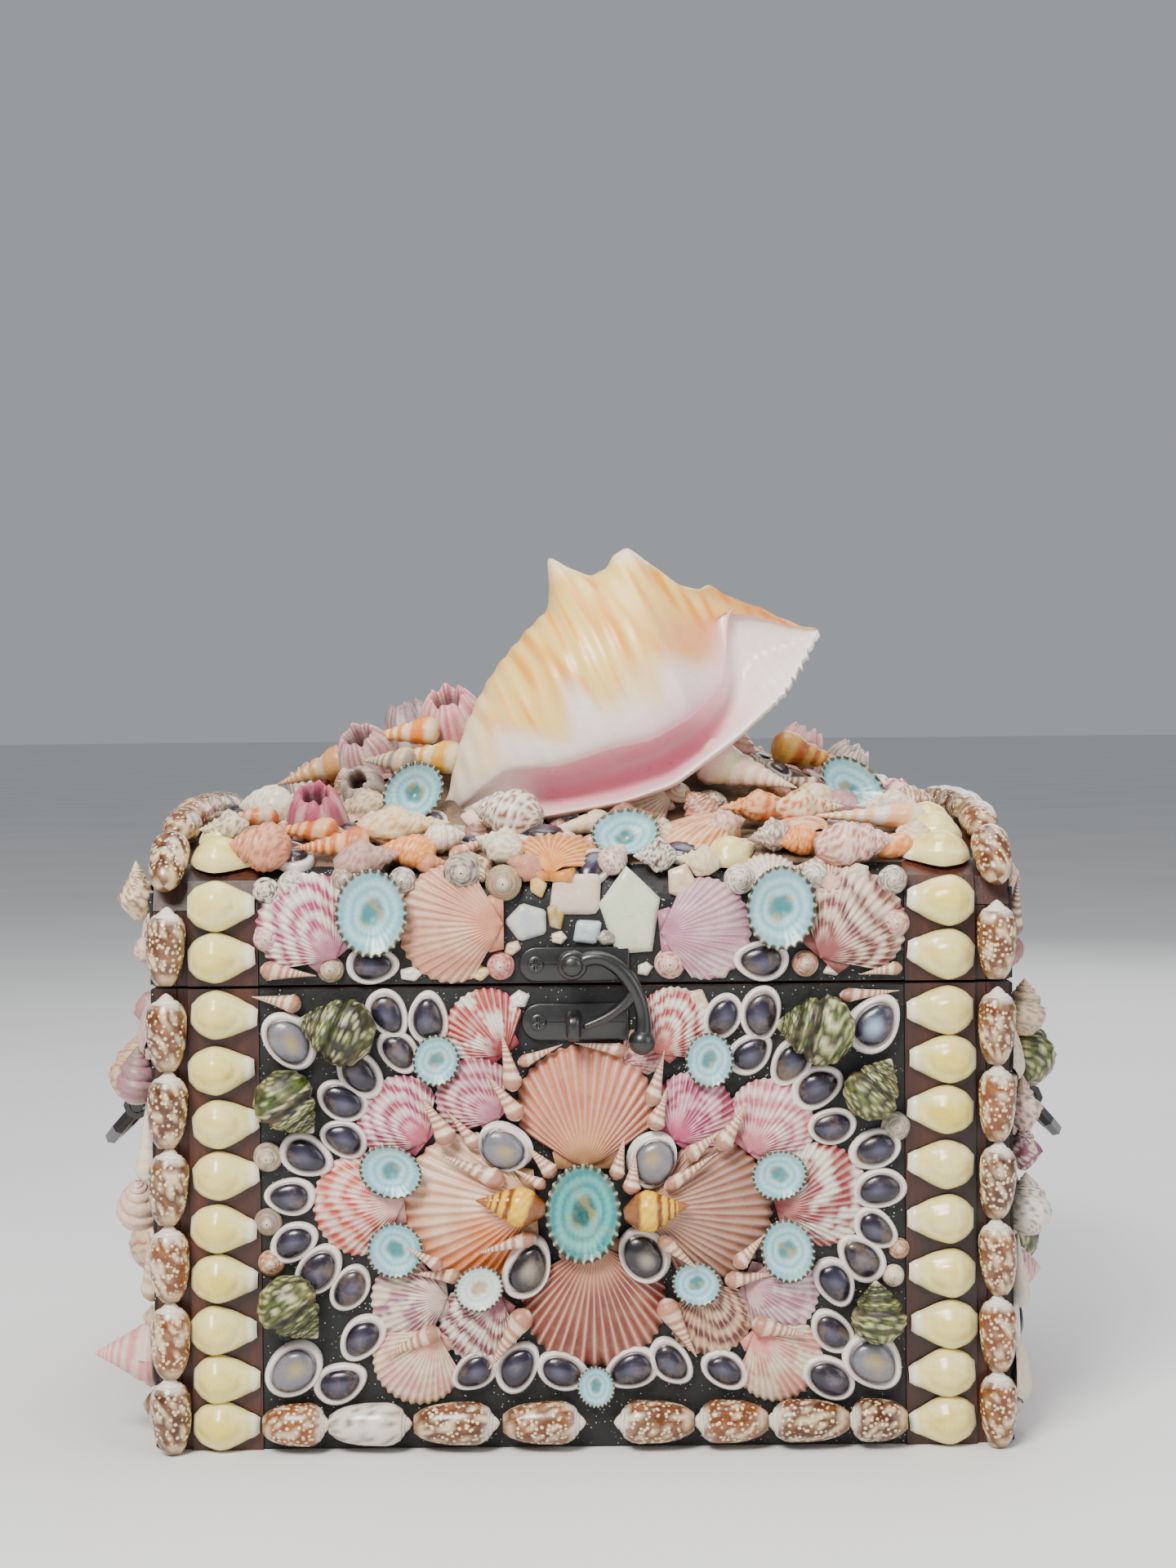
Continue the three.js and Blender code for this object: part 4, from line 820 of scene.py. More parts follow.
# x, height, turn.
FRONT_RINGS = [
    (-67.6, 154, -60), (-53.6, 152.2, -85), (-63.8, 140, -50), (-78.1, 132.9, -50), (-83.4, 122.9, -25),
    (-83.9, 110, -25), (-96.5, 103.9, -25), (-103, 89.7, 0), (-101.1, 73.9, 30), (-93.3, 63.4, 50),
    (-81.6, 57.8, 55), (-78.2, 39.5, 45), (-85.4, 24, 20), (-38.9, 27.5, 35), (-23.3, 29.4, 60),
    (-8.5, 27.7, -20), (49.5, 152, 60), (62.5, 154, 80), (59.1, 138.9, 40), (72.8, 135, 55),
    (82.4, 126.9, 30), (86.7, 112.7, 10), (102.8, 104.9, 20), (103.2, 90.7, 10), (102.6, 76.5, -40),
    (96.9, 66.7, -45), (88.1, 57.7, -60), (86.6, 40.9, -45), (86.2, 24, -30), (48.6, 27.7, -30),
    (30.5, 30.1, -50), (16.1, 28, 20),
]
# Colours of a dome: round its crown, and a lighter one at its centre that paints the dome's highlight.
DOVE, SLATE = (rgb(0.45, 0.45, 0.48), rgb(0.62, 0.56, 0.42)), (rgb(0.2, 0.2, 0.26), rgb(0.6, 0.68, 0.78))
INK = rgb(0.12, 0.11, 0.13), GREY
# x, height, length, width, turn, lift, dome colours, how far the dome sits off the middle.
FRONT_BIG_RINGS = [
    (-101.6, 144, 22.5, 16.5, -50, 0, DOVE, 0.05), (-101.4, 29.6, 22, 17.5, 40, 0, DOVE, 0.05),
    (-26.4, 107.1, 20, 16, -30, 4, DOVE, 0.2), (-19.5, 65.5, 23, 15.5, 65, 4, INK, 0.1),
    (102.3, 149.2, 22.5, 17, 55, 0, SLATE, 0.05), (101.6, 30, 22.5, 18.5, -40, 0, DOVE, 0.05),
    (24.3, 103.2, 20, 17, 65, 4, DOVE, 0.2), (21.6, 68.5, 20.5, 17, -55, 4, INK, 0.1),
]
FRONT_TURBANS = [
    (-85.4, 149, 27, 24, 165, 0), (-101.8, 122.6, 25, 22, -48, 0), (-101.2, 51, 25, 22, -48, 0),
    (80.5, 148, 27, 25, 172, 0), (101.6, 127.3, 22.5, 20, 60, 0), (102.4, 49, 21.5, 19.5, 95, 0),
]
# Tip x, tip height, base x, base height, width, lift.
FRONT_AUGERS = [
    (-115, 160, -97.7, 157, 6.8, 0), (-27.9, 147.4, -23.5, 126.8, 7, 4),
    (-6.9, 142.5, -22.4, 135.9, 4.6, 2), (-33, 132.6, -21.5, 116.9, 7, 4),
    (-55.9, 125.3, -45.8, 108.4, 8, 4), (-47.4, 119.9, -36, 106.6, 5.7, 3),
    (-50.3, 105.4, -27.1, 95.4, 7.4, 6), (-19.6, 108.2, -9.7, 97.6, 6.3, 7),
    (-24.6, 100.2, -12.9, 93.9, 4.6, 8), (-37.9, 70.3, -16.3, 76.7, 6, 7),
    (-62.1, 73.2, -49.2, 65.9, 5, 7), (-60.8, 63.1, -42.6, 61.8, 5.5, 3),
    (-33.3, 29.6, -19.7, 50.5, 8.6, 3), (-69.6, 33.7, -50.4, 43.6, 7, 3), (111, 160.2, 90, 158.6, 5, 0),
    (28.6, 140.4, 23.7, 121.3, 6.3, 5), (29.5, 127.7, 24.5, 113, 6.9, 5),
    (14.5, 111, 11.2, 96.2, 5.7, 8), (18.2, 105.4, 16.5, 91.2, 6.6, 8),
    (48.6, 112.9, 35.5, 103.1, 6.3, 6), (57.2, 122, 47.4, 105.9, 7.1, 5),
    (46.7, 105.2, 28.2, 92.9, 5.1, 8), (62.9, 76.2, 52.7, 65.1, 6.3, 6),
    (40.4, 63.9, 26.2, 76.2, 5.7, 8), (66.9, 62.3, 49, 59.8, 6.3, 4), (39, 33.3, 27.2, 53.6, 8.6, 3),
    (78.4, 40.1, 58.2, 44.7, 7.7, 3), (-2.6, 143, 16, 140.1, 4.9, 2),
]
# x, height, size, base, marks.
FRONT_BUTTONS = [
    (-110.4, 103.5, 10.5, rgb(0.75, 0.68, 0.6), GREY), (-110.5, 80.7, 10, rgb(0.6, 0.52, 0.46), GREY),
    (-109.5, 66.3, 9.5, rgb(0.66, 0.46, 0.36), SAND), (109.6, 112.5, 10.5, rgb(0.78, 0.74, 0.7), GREY),
    (110.6, 69.5, 7.5, rgb(0.6, 0.42, 0.34), SAND), (108.5, 60, 8, WHITE, SAND),
]
FRONT_CHIPS = [(-22, 158, 8, 6.5, 20, WHITE), (40.8, 157, 10, 7.5, -60, SAND)]
# x, length, turn, seed.
FOOT_OLIVES = [
    (-100.8, 23.5, 0, 3), (-74.9, 29, 0, 4), (-44.8, 30, 0, 5), (-14.2, 29, 0, 6), (24.1, 28, 180, 7),
    (50.8, 26, 180, 8), (77.6, 29, 180, 9), (102, 21, 180, 10),
]

# The lid's straight front band.
LID_SCALLOPS = [
    (-96, 185.8, 33, 130, 0.5, (0.93, 0.9, 0.85), (0.66, 0.25, 0.4), "dash", 20, (0.74, 0.5, 0.58)),
    (-45.5, 183, 37, 180, 0.5, (0.9, 0.72, 0.62), (0.8, 0.48, 0.38), "rays", 20, (0.85, 0.6, 0.5)),
    (43.4, 182.5, 32, 5, 0.5, (0.86, 0.72, 0.76), (0.72, 0.48, 0.58), "rays", 20, (0.7, 0.5, 0.58)),
    (95, 185, 35, 48, 0.5, (0.9, 0.82, 0.74), (0.48, 0.22, 0.22), "dash", 20, (0.6, 0.36, 0.35)),
]
LID_LIMPETS = [(-72.7, 189.3, 30, 25.5, 90, 3, LIMPET_BLUE), (69.6, 190, 29, 24.5, 90, 3, LIMPET_BLUE)]
LID_RINGS = [(-72.6, 169.6, 0), (62.5, 170.2, 0)]
LID_AUGERS = [(-92.8, 167.2, -112, 169.5, 7, 0), (97.4, 166, 112, 168.5, 5, 0)]
LID_BUTTONS = [
    (-110, 197, 9.5, WHITE, rgb(0.2, 0.15, 0.14)), (-110, 180.1, 9.5, BLUSH, MAUVE),
    (-82.2, 201, 10, GREY, SAND), (-62.2, 200, 10, GREY, WHITE), (-87.6, 169.3, 9.5, SAND, GREY),
    (-28.2, 170, 10, PINK, ROSE_BROWN), (30.9, 170.4, 11, BLUSH, ROSE_BROWN),
    (-27, 199, 13, rgb(0.68, 0.58, 0.46), GREY), (55.5, 199.6, 11, WHITE, GREY),
    (81.7, 200.4, 10, WHITE, GREY), (109, 199, 10.5, GREY, WHITE), (110, 183.9, 10, BLUSH, ROSE_BROWN),
    (78.3, 170, 9.5, SAND, ROSE_BROWN), (-41.3, 203, 14, rgb(0.7, 0.66, 0.62), rgb(0.35, 0.3, 0.3)),
]
SEA_GLASS, PEARL = rgb(0.84, 0.87, 0.76), rgb(0.86, 0.78, 0.72)
# x, height, length, width, turn, colour.
LID_CHIPS = [
    (17.5, 187, 33, 22, 95, SEA_GLASS), (-2, 195, 21, 17, 10, PEARL),
    (-18.6, 185.4, 16, 14, 5, rgb(0.74, 0.76, 0.76)), (-15, 198.5, 10, 6.5, 100, rgb(0.86, 0.72, 0.45)),
    (-8.7, 187.5, 11, 6.5, 95, rgb(0.68, 0.6, 0.38)), (-7.8, 179.5, 6, 5, 0, CREAM),
    (2, 181.5, 11, 9.5, 20, rgb(0.72, 0.78, 0.8)), (9.1, 179.5, 9, 6, 0, GREY),
    (22.1, 168.5, 6, 5, 30, WHITE), (47.9, 167.5, 9.5, 5.5, 5, rgb(0.76, 0.68, 0.66)),
    (-59.6, 167.3, 8.5, 5.5, 0, WHITE), (-35.5, 167.5, 8.5, 5.5, 10, rgb(0.88, 0.78, 0.56)),
    (-24.1, 176, 7, 5, 30, SAND), (35.2, 198.5, 13.5, 11, 95, SAND), (88, 168, 7, 5, 20, WHITE),
    (-55, 198, 8, 6, 40, SAND), (97, 202, 9, 6, 10, PEARL),
]


def zone(name, body):
    """One batch of each finish for a zone of the chest."""
    finishes = {"polished": POLISHED, "satin": SATIN, "chalky": CHALKY, "nacre": NACRE}
    return {finish: Batch(f"{name}_{finish}_shells", body, material) for finish, material in finishes.items()}


def lay_mosaic(batches, face, scallops=(), limpets=(), rings=(), big_rings=(), turbans=(), augers=(),
               buttons=(), chips=()):
    """The shells of a laid-out face, from its tables."""
    for i, (x, y, length, turn, lift, base, marks, style, ribs, hinge) in enumerate(scallops):
        base, marks, hinge = (colour and rgb(*colour) for colour in (base, marks, hinge))
        shell = scallop(length, base, marks, style, ribs, i + 1, hinge)
        batches["satin"].add(shell, on(face, x, y, turn, lift))
    for i, (x, y, length, width, turn, lift, hues) in enumerate(limpets):
        batches["nacre"].add(limpet(length, width, hues, i), on(face, x, y, turn, lift))
    for i, (x, y, turn) in enumerate(rings):
        length = 18.5 + 1.2 * math.sin(i * 2.3)
        batches["polished"].add(ring_cowrie(length, length * 0.72, i), on(face, x, y, turn + 180 * (i % 2)))
    for i, (x, y, length, width, turn, lift, (crown, lit_centre), offset) in enumerate(big_rings):
        shell = ring_cowrie(length, width, i + 40, crown, lit_centre, offset)
        batches["polished"].add(shell, on(face, x, y, turn, lift))
    for i, (x, y, length, width, turn, lift) in enumerate(turbans):
        batches["satin"].add(turban(length, width, i), on(face, x, y, turn, lift))
    for i, (tip_x, tip_y, base_x, base_y, width, lift) in enumerate(augers):
        run = math.hypot(tip_x - base_x, tip_y - base_y)
        turn = math.degrees(math.atan2(tip_y - base_y, tip_x - base_x))
        middle = ((tip_x + base_x) / 2, (tip_y + base_y) / 2)
        batches["satin"].add(auger(run, width, i), on(face, *middle, turn, lift, tilt=-3))
    for i, (x, y, size, base, marks) in enumerate(buttons):
        batches["satin"].add(button(size, i, base, marks), on(face, x, y, 50 * i))
    for i, (x, y, length, width, turn, colour) in enumerate(chips):
        batches["nacre"].add(chip(length, width, colour, i), on(face, x, y, turn))


TRIES = 14


def scatter(rng, count, spot, taken, gap=0.8, size=(7, 14)):
    """Places between those taken, a list of (x, y, radius), for small shells; spot(rng) tries a place."""
    placed = []
    for _ in range(count * TRIES):
        if len(placed) == count:
            break
        x, y = spot(rng)
        reach = rng.uniform(*size) / 2
        if all(math.hypot(x - a, y - b) > (reach + c) * gap for a, b, c in taken):
            placed.append((x, y, reach * 2))
            taken.append((x, y, reach))
    return placed


SMALL_TONES = [SAND, BLUSH, GREY, PINK_TAN, CREAM, rgb(0.78, 0.55, 0.42), rgb(0.7, 0.5, 0.52),
               rgb(0.55, 0.42, 0.36)]


def lay_small(batches, pose_at, places, rng):
    """Small shells of all sorts at scattered places."""
    for x, y, size in places:
        kind = rng.integers(0, 8)
        turn, seed = rng.uniform(0, 360), int(rng.integers(0, 9999))
        base, marks = SMALL_TONES[rng.integers(0, 8)], SMALL_TONES[rng.integers(0, 8)]
        pose = pose_at(x, y, turn)
        if kind <= 1:
            batches["polished"].add(ring_cowrie(size * 1.3, size * 0.95, seed), pose)
        elif kind <= 3:
            batches["satin"].add(button(size * 1.1, seed, base, marks), pose)
        elif kind == 4:
            batches["satin"].add(murex(size * 1.5, size, seed, base, marks, 7, 0.2), pose)
        elif kind == 5:
            batches["satin"].add(auger(size * 1.9, size * 0.55, seed, base), pose)
        elif kind == 6:
            batches["satin"].add(scallop(size * 1.3, base, marks, "blotch", 13, seed), pose)
        else:
            batches["nacre"].add(chip(size * 1.2, size * 0.9, base, seed), pose)


def finish_zone(batches, *nodes):
    """Builds a zone's meshes; the first of them stands for the CAD nodes, where there are any."""
    pieces = [piece for piece in (batch.build() for batch in batches.values()) if piece]
    if nodes:
        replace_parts(pieces[0], *nodes)


# ---------- the columns at both ends ----------
COWRIE_X, LID_COWRIE_PITCH, OLIVE_X, OLIVE_PITCH = 125.6, 18, 144.6, 26.9
STRAP_LIFT, OLIVE_LIFT = 1.3, -0.6
LEFT_COWRIE_HEIGHTS = [8.9, 25.6, 42.4, 60.6, 78.6, 97, 115.6, 134.6, 153.4]
RIGHT_COWRIE_HEIGHTS = [8.9, 25.6, 43, 61.2, 80, 99.6, 118, 136.2, 153.6]


def lay_run(name, body, slot, node, shells):
    """A run of polished shells, given as pairs of shell and pose, that stands for one CAD node."""
    batch = Batch(name, body, POLISHED, slot)
    for shell, pose in shells:
        batch.add(shell, pose)
    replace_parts(batch.build(), node)


def lay_columns():
    for side, name, heights in ((-1, "left", LEFT_COWRIE_HEIGHTS), (1, "right", RIGHT_COWRIE_HEIGHTS)):
        inward = 0 if side < 0 else 180
        rng = np.random.default_rng(7 + side)
        sway = lambda most: rng.uniform(-most, most)
        lay_run(f"front_{name}_money_cowries", "chest", "yellow_shell", f"front_{name}_cowries", (
            (money_cowrie(23.2, 16.9, i + 20 * side + 30),
             on(FRONT, side * (COWRIE_X + sway(0.8)), height, inward + sway(6), STRAP_LIFT))
            for i, height in enumerate(heights)))
        lay_run(f"front_{name}_brown_olives", "chest", "brown_shell", f"front_{name}_olives", (
            (olive(27, 14.2 if side < 0 else 13.2, i + 40 * side + 50),
             on(FRONT, side * OLIVE_X, 13.7 + OLIVE_PITCH * i, 90 + sway(4), OLIVE_LIFT))
            for i in range(6)))
        lay_run(f"lid_{name}_money_cowries", "lid", "yellow_shell", f"lid_{name}_cowries", (
            (money_cowrie(23.4, 17.6, i + 10 * side + 60),
             on(lid_face(9.8 + LID_COWRIE_PITCH * i), side * COWRIE_X, 0, inward + sway(6), STRAP_LIFT))
            for i in range(4 if side < 0 else 5)))
        lay_run(f"lid_{name}_brown_olives", "lid", "brown_shell", f"lid_{name}_olives", (
            (olive(27.4, 13.8, i + 40 * side + 90),
             on(lid_face(14.6 + OLIVE_PITCH * i), side * OLIVE_X, 0, 90 + sway(4), OLIVE_LIFT))
            for i in range(8)))


# ---------- linings: the black ground under the shells ----------
def lining(name, body, outline, from_x, to_x):
    """A thin board of a (y, z) outline between two x, with its own faces."""
    places = [(x, y, z) for x in (from_x, to_x) for y, z in outline]
    count = len(outline)
    faces = [[i, (i + 1) % count, count + (i + 1) % count, count + i] for i in range(count)]
    half = count // 2
    for i in range(half - 1):
        for base, flip in ((0, 1), (count, -1)):
            quad = [base + i, base + i + 1, base + count - 2 - i, base + count - 1 - i]
            faces.append(quad[::flip])
    mesh = bpy.data.meshes.new(name)
    mesh.from_pydata([tuple(v * MM for v in place) for place in places], [], faces)
    mesh.materials.append(GROUND)
    piece = new_object(name, mesh)
    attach(piece, body)


def slab(low_y, high_y, low_z, high_z):
    return [(low_y, low_z), (low_y, high_z), (high_y, high_z), (high_y, low_z)]


def lay_front():
    batches = zone("front", "chest")
    lay_mosaic(batches, FRONT, FRONT_SCALLOPS, FRONT_LIMPETS, FRONT_RINGS, FRONT_BIG_RINGS, FRONT_TURBANS,
               FRONT_AUGERS, FRONT_BUTTONS, FRONT_CHIPS)
    for x, length, turn, seed in FOOT_OLIVES:
        paint = pale_olive_paint if seed == 4 else olive_paint
        batches["polished"].add(olive(length, 15, seed, paint), on(FRONT, x, 10.2, turn, -0.8))
    batches["polished"].add(mitre(24.5, 14.3, 1), on(FRONT, -25.2, 88.2, 172, 7))
    batches["polished"].add(mitre(23, 15, 2), on(FRONT, 25.5, 86.2, 8, 7))
    finish_zone(batches, "front_shells")
    board = slab(-HALF_D - LIFT, -HALF_D - GAP, FOOT, BODY_TOP - SEAM_ROOM)
    lining("front_ground", "chest", board, -PANEL_HALF, PANEL_HALF)


def lay_lid_front():
    batches = zone("lid_front", "lid")
    lay_mosaic(batches, FRONT, LID_SCALLOPS, LID_LIMPETS, LID_RINGS, augers=LID_AUGERS, buttons=LID_BUTTONS,
               chips=LID_CHIPS)
    finish_zone(batches, "lid_front_shells")
    outer, inner = (lid_outline(by, 64, 0.5, 3) for by in (LIFT, GAP))
    lining("lid_ground", "lid", np.vstack([outer, inner[::-1]]), -PANEL_HALF, PANEL_HALF)


# ---------- CAD parts seen as they are ----------
def finish_node(name, material, round_edges=0.0):
    """Gives a CAD node its finish, with softly rounded edges where it has any."""
    part = bpy.data.objects[name]
    part.data.materials.clear()
    part.data.materials.append(material)
    if round_edges:
        bevel = part.modifiers.new("soft edges", "BEVEL")
        bevel.width = round_edges * MM
        bevel.segments = 2
        bevel.limit_method = "ANGLE"


# ---------- the horned conch on the heap ----------
CONCH_FINISH = shell_material("conch_surface", 0.34, 0.18, 0.14, stain=0.12)
CONCH_TAIL = np.array([-50, -34, 220])
CONCH_RISE = math.radians(26)
# Along the axis: crown, edge of the callus, edge of the lip.
CONCH_CROWN = [(0, 3), (18, 25), (31, 36), (42, 43), (60, 51), (75, 54.5), (88, 54), (100, 50), (110, 43),
               (119, 35), (129, 28.5), (139, 20), (147, 9), (155.7, 0.5)]
CONCH_CALLUS = [(0, 0), (27.7, 4.4), (46.6, -2.6), (66.3, -5.5), (80.7, -9.2), (97.2, -8.3), (115.5, -2.7),
                (122, 8), (128, 20), (133, 23), (147, 7), (155.7, 0.3)]
CONCH_LIP = [(0, -3), (10, -8), (30, -15), (63, -24), (81, -26), (110, -21), (133, -14.6), (147, -6),
             (155.7, 0)]
CONCH_LENGTH = 155.7
# How many places a section has before its corners are cut.
CONCH_STATIONS = 18
# Horns on the crown: along, height, reach towards the tail and towards the spire.
CONCH_HORNS = [(77, 19, 5, 8), (105, 17, 11, 9), (127, 5, 5, 4)]


def conch_pose():
    cos, sin = math.cos(CONCH_RISE), math.sin(CONCH_RISE)
    return basis((cos, 0, sin), (-sin, 0, cos), (0, -1, 0), CONCH_TAIL)


def rounded(ring, times=2):
    """A closed ring of points with its corners cut."""
    for _ in range(times):
        after = np.roll(ring, -1, axis=-2)
        ring = np.stack([ring * 0.75 + after * 0.25, ring * 0.25 + after * 0.75], -2)
        ring = ring.reshape(*ring.shape[:-3], -1, ring.shape[-1])
    return ring


def conch_rings():
    """Sections along the conch: over the back, crown and front, into the mouth and out to the lip."""
    u = np.linspace(0, CONCH_LENGTH, 150)
    crown, callus, lip = (np.interp(u, *zip(*line)) for line in (CONCH_CROWN, CONCH_CALLUS, CONCH_LIP))
    kernel = np.ones(7) / 7
    crown, callus, lip = (np.convolve(np.pad(line, 3, "edge"), kernel, "valid")
                          for line in (crown, callus, lip))
    chipped = smooth(118, 140, u) * (0.8 * np.sin(u * 1.7) + 0.6 * np.sin(u * 3.1 + 1))
    lip = lip + chipped * smooth(155, 150, u)
    horns = sum(height * np.exp(-np.abs((u - at) / np.where(u < at, before, after)) ** 1.7)
                for at, height, before, after in CONCH_HORNS)
    tall = crown - lip
    deep = tall * 0.44 + 1
    opened = smooth(8, 36, u)
    flare = smooth(96, 132, u)
    hollow = 0.8 * (1 - opened) + opened * (0.05 * (1 - flare) - 0.6 * flare)
    under = callus - lip

    def inside(height, wish):
        """A place in the mouth that stays in front of the back wall."""
        stops, depths = [0, 0.06, 0.2, 0.46, 0.74, 0.95], [0.8, 0.2, -0.55, -0.98, -0.9, -0.4]
        return np.maximum(wish, np.interp(height / tall, stops, depths) + 0.16)

    places = [
        (1.04 + 0.1 * flare, lip), (0.8, lip - 1.2 - 0.6 * opened), (0.2, lip + 0.06 * tall),
        (-0.55, lip + 0.2 * tall), (-0.98, lip + 0.46 * tall), (-0.9, lip + 0.74 * tall),
        (-0.4, lip + 0.95 * tall + 0.25 * horns), (0.05, crown + horns),
        (0.45 * (1 - 1.6 * flare), lip + 0.96 * tall + 0.35 * horns),
        (0.85 * (1 - 1.5 * flare), lip + 0.8 * tall),
        (1.02 * (1 - 1.5 * flare), callus + 0.45 * (crown - callus)),
        (1.04 * (1 - 1.4 * flare), callus + 0.14 * (crown - callus)), (0.95 * (1 - 1.3 * flare), callus),
        (0.6 * (1 - 1.9 * flare), callus + 0.12 * under), (inside(0.72 * under, hollow), lip + 0.72 * under),
        (inside(0.36 * under, hollow), lip + 0.36 * under), (0.6 - 0.1 * flare, lip + 0.13 * under + 1.2),
        (0.95 + 0.06 * flare, lip + 1.6),
    ]
    ring = np.stack([np.stack([u, deep * share, height], -1) for share, height in places], 1)
    return rounded(ring[..., [0, 2, 1]])


def conch_form():
    """The conch as one closed skin; k is how far round a section a point lies, in conch_rings' places."""
    rings = conch_rings()
    count = rings.shape[1]
    u = rings[..., 0]
    k = np.arange(count)[None, :] / count * CONCH_STATIONS + 0 * u
    growth_lines = 0.5 * np.sin(u * 0.9 + np.sin(k * 1.3)) * smooth(3, 6, k) * smooth(12, 10, k)
    rings[..., 1] += growth_lines * 0.6
    rings[..., 2] += growth_lines * 0.4
    streaks = waves(u / 16, k / 3.2, 3)
    fine = waves(u / 4.5, k / 3, 8)
    peach = mix(rgb(0.97, 0.84, 0.55), rgb(0.93, 0.64, 0.3), smooth(-0.2, 0.8, 0.5 * streaks + 0.6 * fine))
    peach = mix(peach, rgb(0.98, 0.92, 0.82), smooth(45, 10, u))
    coral = mix(peach, rgb(0.95, 0.66, 0.5), smooth(84, 118, u) * smooth(11.8, 10.4, k) * smooth(8, 9.6, k))
    tops = np.interp(u[:, :1], *zip(*CONCH_CROWN))
    coral = mix(coral, rgb(0.98, 0.93, 0.84), 0.8 * smooth(4, 13, rings[..., 1] - tops))
    callus = mix(rgb(0.97, 0.92, 0.9), rgb(0.92, 0.72, 0.78), smooth(40, 110, u) * smooth(9.9, 11.6, k))
    outside = mix(coral, callus, smooth(9.5, 10.6, k + 0.5 * streaks))
    back = mix(rgb(0.93, 0.86, 0.72), rgb(0.84, 0.66, 0.46), smooth(0, 0.8, waves(u / 14, k / 2, 5)))
    tint = mix(back, outside, smooth(5.2, 7.4, k))
    rose = mix(rgb(0.97, 0.8, 0.83), rgb(0.95, 0.66, 0.73), smooth(13.4, 14.4, k) * smooth(16.2, 15.4, k))
    rose = mix(rose, rgb(0.98, 0.94, 0.92), smooth(100, 126, u + 14 * (k - 14) / 4))
    tint = mix(tint, rose, smooth(12.4, 13.3, k) * smooth(25, 40, u))
    lip = mix(rgb(0.95, 0.82, 0.8), rgb(0.98, 0.95, 0.92), smooth(60, 100, u))
    tint = mix(tint, lip, smooth(16.4, 17.2, k))
    tint = mix(tint, lip, smooth(1.6, 0.6, k))
    ends, end_tints = ([rows[place].mean(0) for place in (0, -1)] for rows in (rings, tint))
    points = np.concatenate([rings.reshape(-1, 3), ends])
    faces = grid_faces(*u.shape, True).tolist()
    first, last = len(points) - 2, len(points) - 1
    base = (len(rings) - 1) * count
    for i in range(count):
        n = (i + 1) % count
        faces.append([first, n, i, i])
        faces.append([last, base + i, base + n, base + n])
    tints = np.concatenate([tint.reshape(-1, 3), end_tints])
    return points, np.array(faces), tints, np.zeros(len(points))


def lay_conch():
    batch = Batch("horned_conch", "lid", CONCH_FINISH, "conch_shell")
    batch.add(conch_form(), conch_pose())
    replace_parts(batch.build(), "conch")


# ---------- the heap of shells on the lid ----------
RIM_FRONT, RIM_BACK, RIM_SIDE = -93, 88, 136
# The oval under the conch that stays free of small shells: middle x and y, reach in x and y.
CONCH_SHADE = (6, -34, 54, 19)
# Farther out and farther forward than these, the yellow cowries lie on the lid.
CORNER_X, CORNER_Y = 108, -22


def conch_floor(x, y):
    """The height that the bed stays under, so that the conch lies in it and its mouth stays open."""
    u = np.clip((x - CONCH_TAIL[0]) / math.cos(CONCH_RISE), 0, 150)
    lip = np.interp(u, *zip(*CONCH_LIP))
    low = CONCH_TAIL[2] + u * math.sin(CONCH_RISE) + lip / math.cos(CONCH_RISE) - 3
    reach = (np.interp(u, *zip(*CONCH_CROWN)) - lip) * 0.5 + 4
    away = np.maximum(np.abs(y - CONCH_TAIL[1]) - reach, 0) + np.maximum(np.abs(x - 10) - 66, 0)
    return low + away * 2.5


def bed_face(x, y):
    """The heap's face, brought down to the bed where the conch lies in it."""
    drop = max(heap_top(x, y) - float(conch_floor(x, y)), 0)
    return shifted(z=-drop) @ heap_face(x, y)


def bed_form():
    """Hardened glue over the lid between the columns, rough and slightly under the shells."""
    xs, ys = np.linspace(-RIM_SIDE, RIM_SIDE, 120), np.linspace(RIM_FRONT, RIM_BACK, 84)
    top = np.array([[heap_top(x, y) for y in ys] for x in xs])
    x, y = np.meshgrid(xs, ys, indexing="ij")
    top = top - 1.2 + 0.7 * waves(x / 16, y / 16, 2) + 0.4 * waves(x / 5, y / 5, 4)
    top = np.minimum(top, conch_floor(x, y))
    floor = arch_height(y) + GAP
    end = np.abs(x) > PANEL_HALF + 1
    floor = np.where(end, floor + 2.1, floor + LINING)
    top = np.maximum(top, floor + 0.3)
    top = np.where(end & (y < -26), floor + 0.05, top)
    sheet = np.stack([x, y, top], -1)
    under = np.stack([x, y, floor], -1)
    rows, columns = x.shape
    faces = grid_faces(rows, columns, False)
    faces = [faces, faces[:, ::-1] + rows * columns]
    loop = [*range(columns), *[r * columns + columns - 1 for r in range(1, rows)],
            *[(rows - 1) * columns + c for c in range(columns - 2, -1, -1)],
            *[r * columns for r in range(rows - 2, 0, -1)]]
    after = np.roll(loop, -1)
    loop, below = np.array(loop), rows * columns
    faces.append(np.stack([loop, loop + below, after + below, after], -1))
    points = np.concatenate([sheet.reshape(-1, 3), under.reshape(-1, 3)])
    return points, np.concatenate(faces), np.tile(SAND, (len(points), 1)), np.zeros(len(points))


PURPLE, PLUM_PINK, SILVER = rgb(0.55, 0.33, 0.4), rgb(0.75, 0.4, 0.48), rgb(0.68, 0.62, 0.6)
PEACH, RUST = rgb(0.93, 0.72, 0.55), rgb(0.78, 0.42, 0.24)
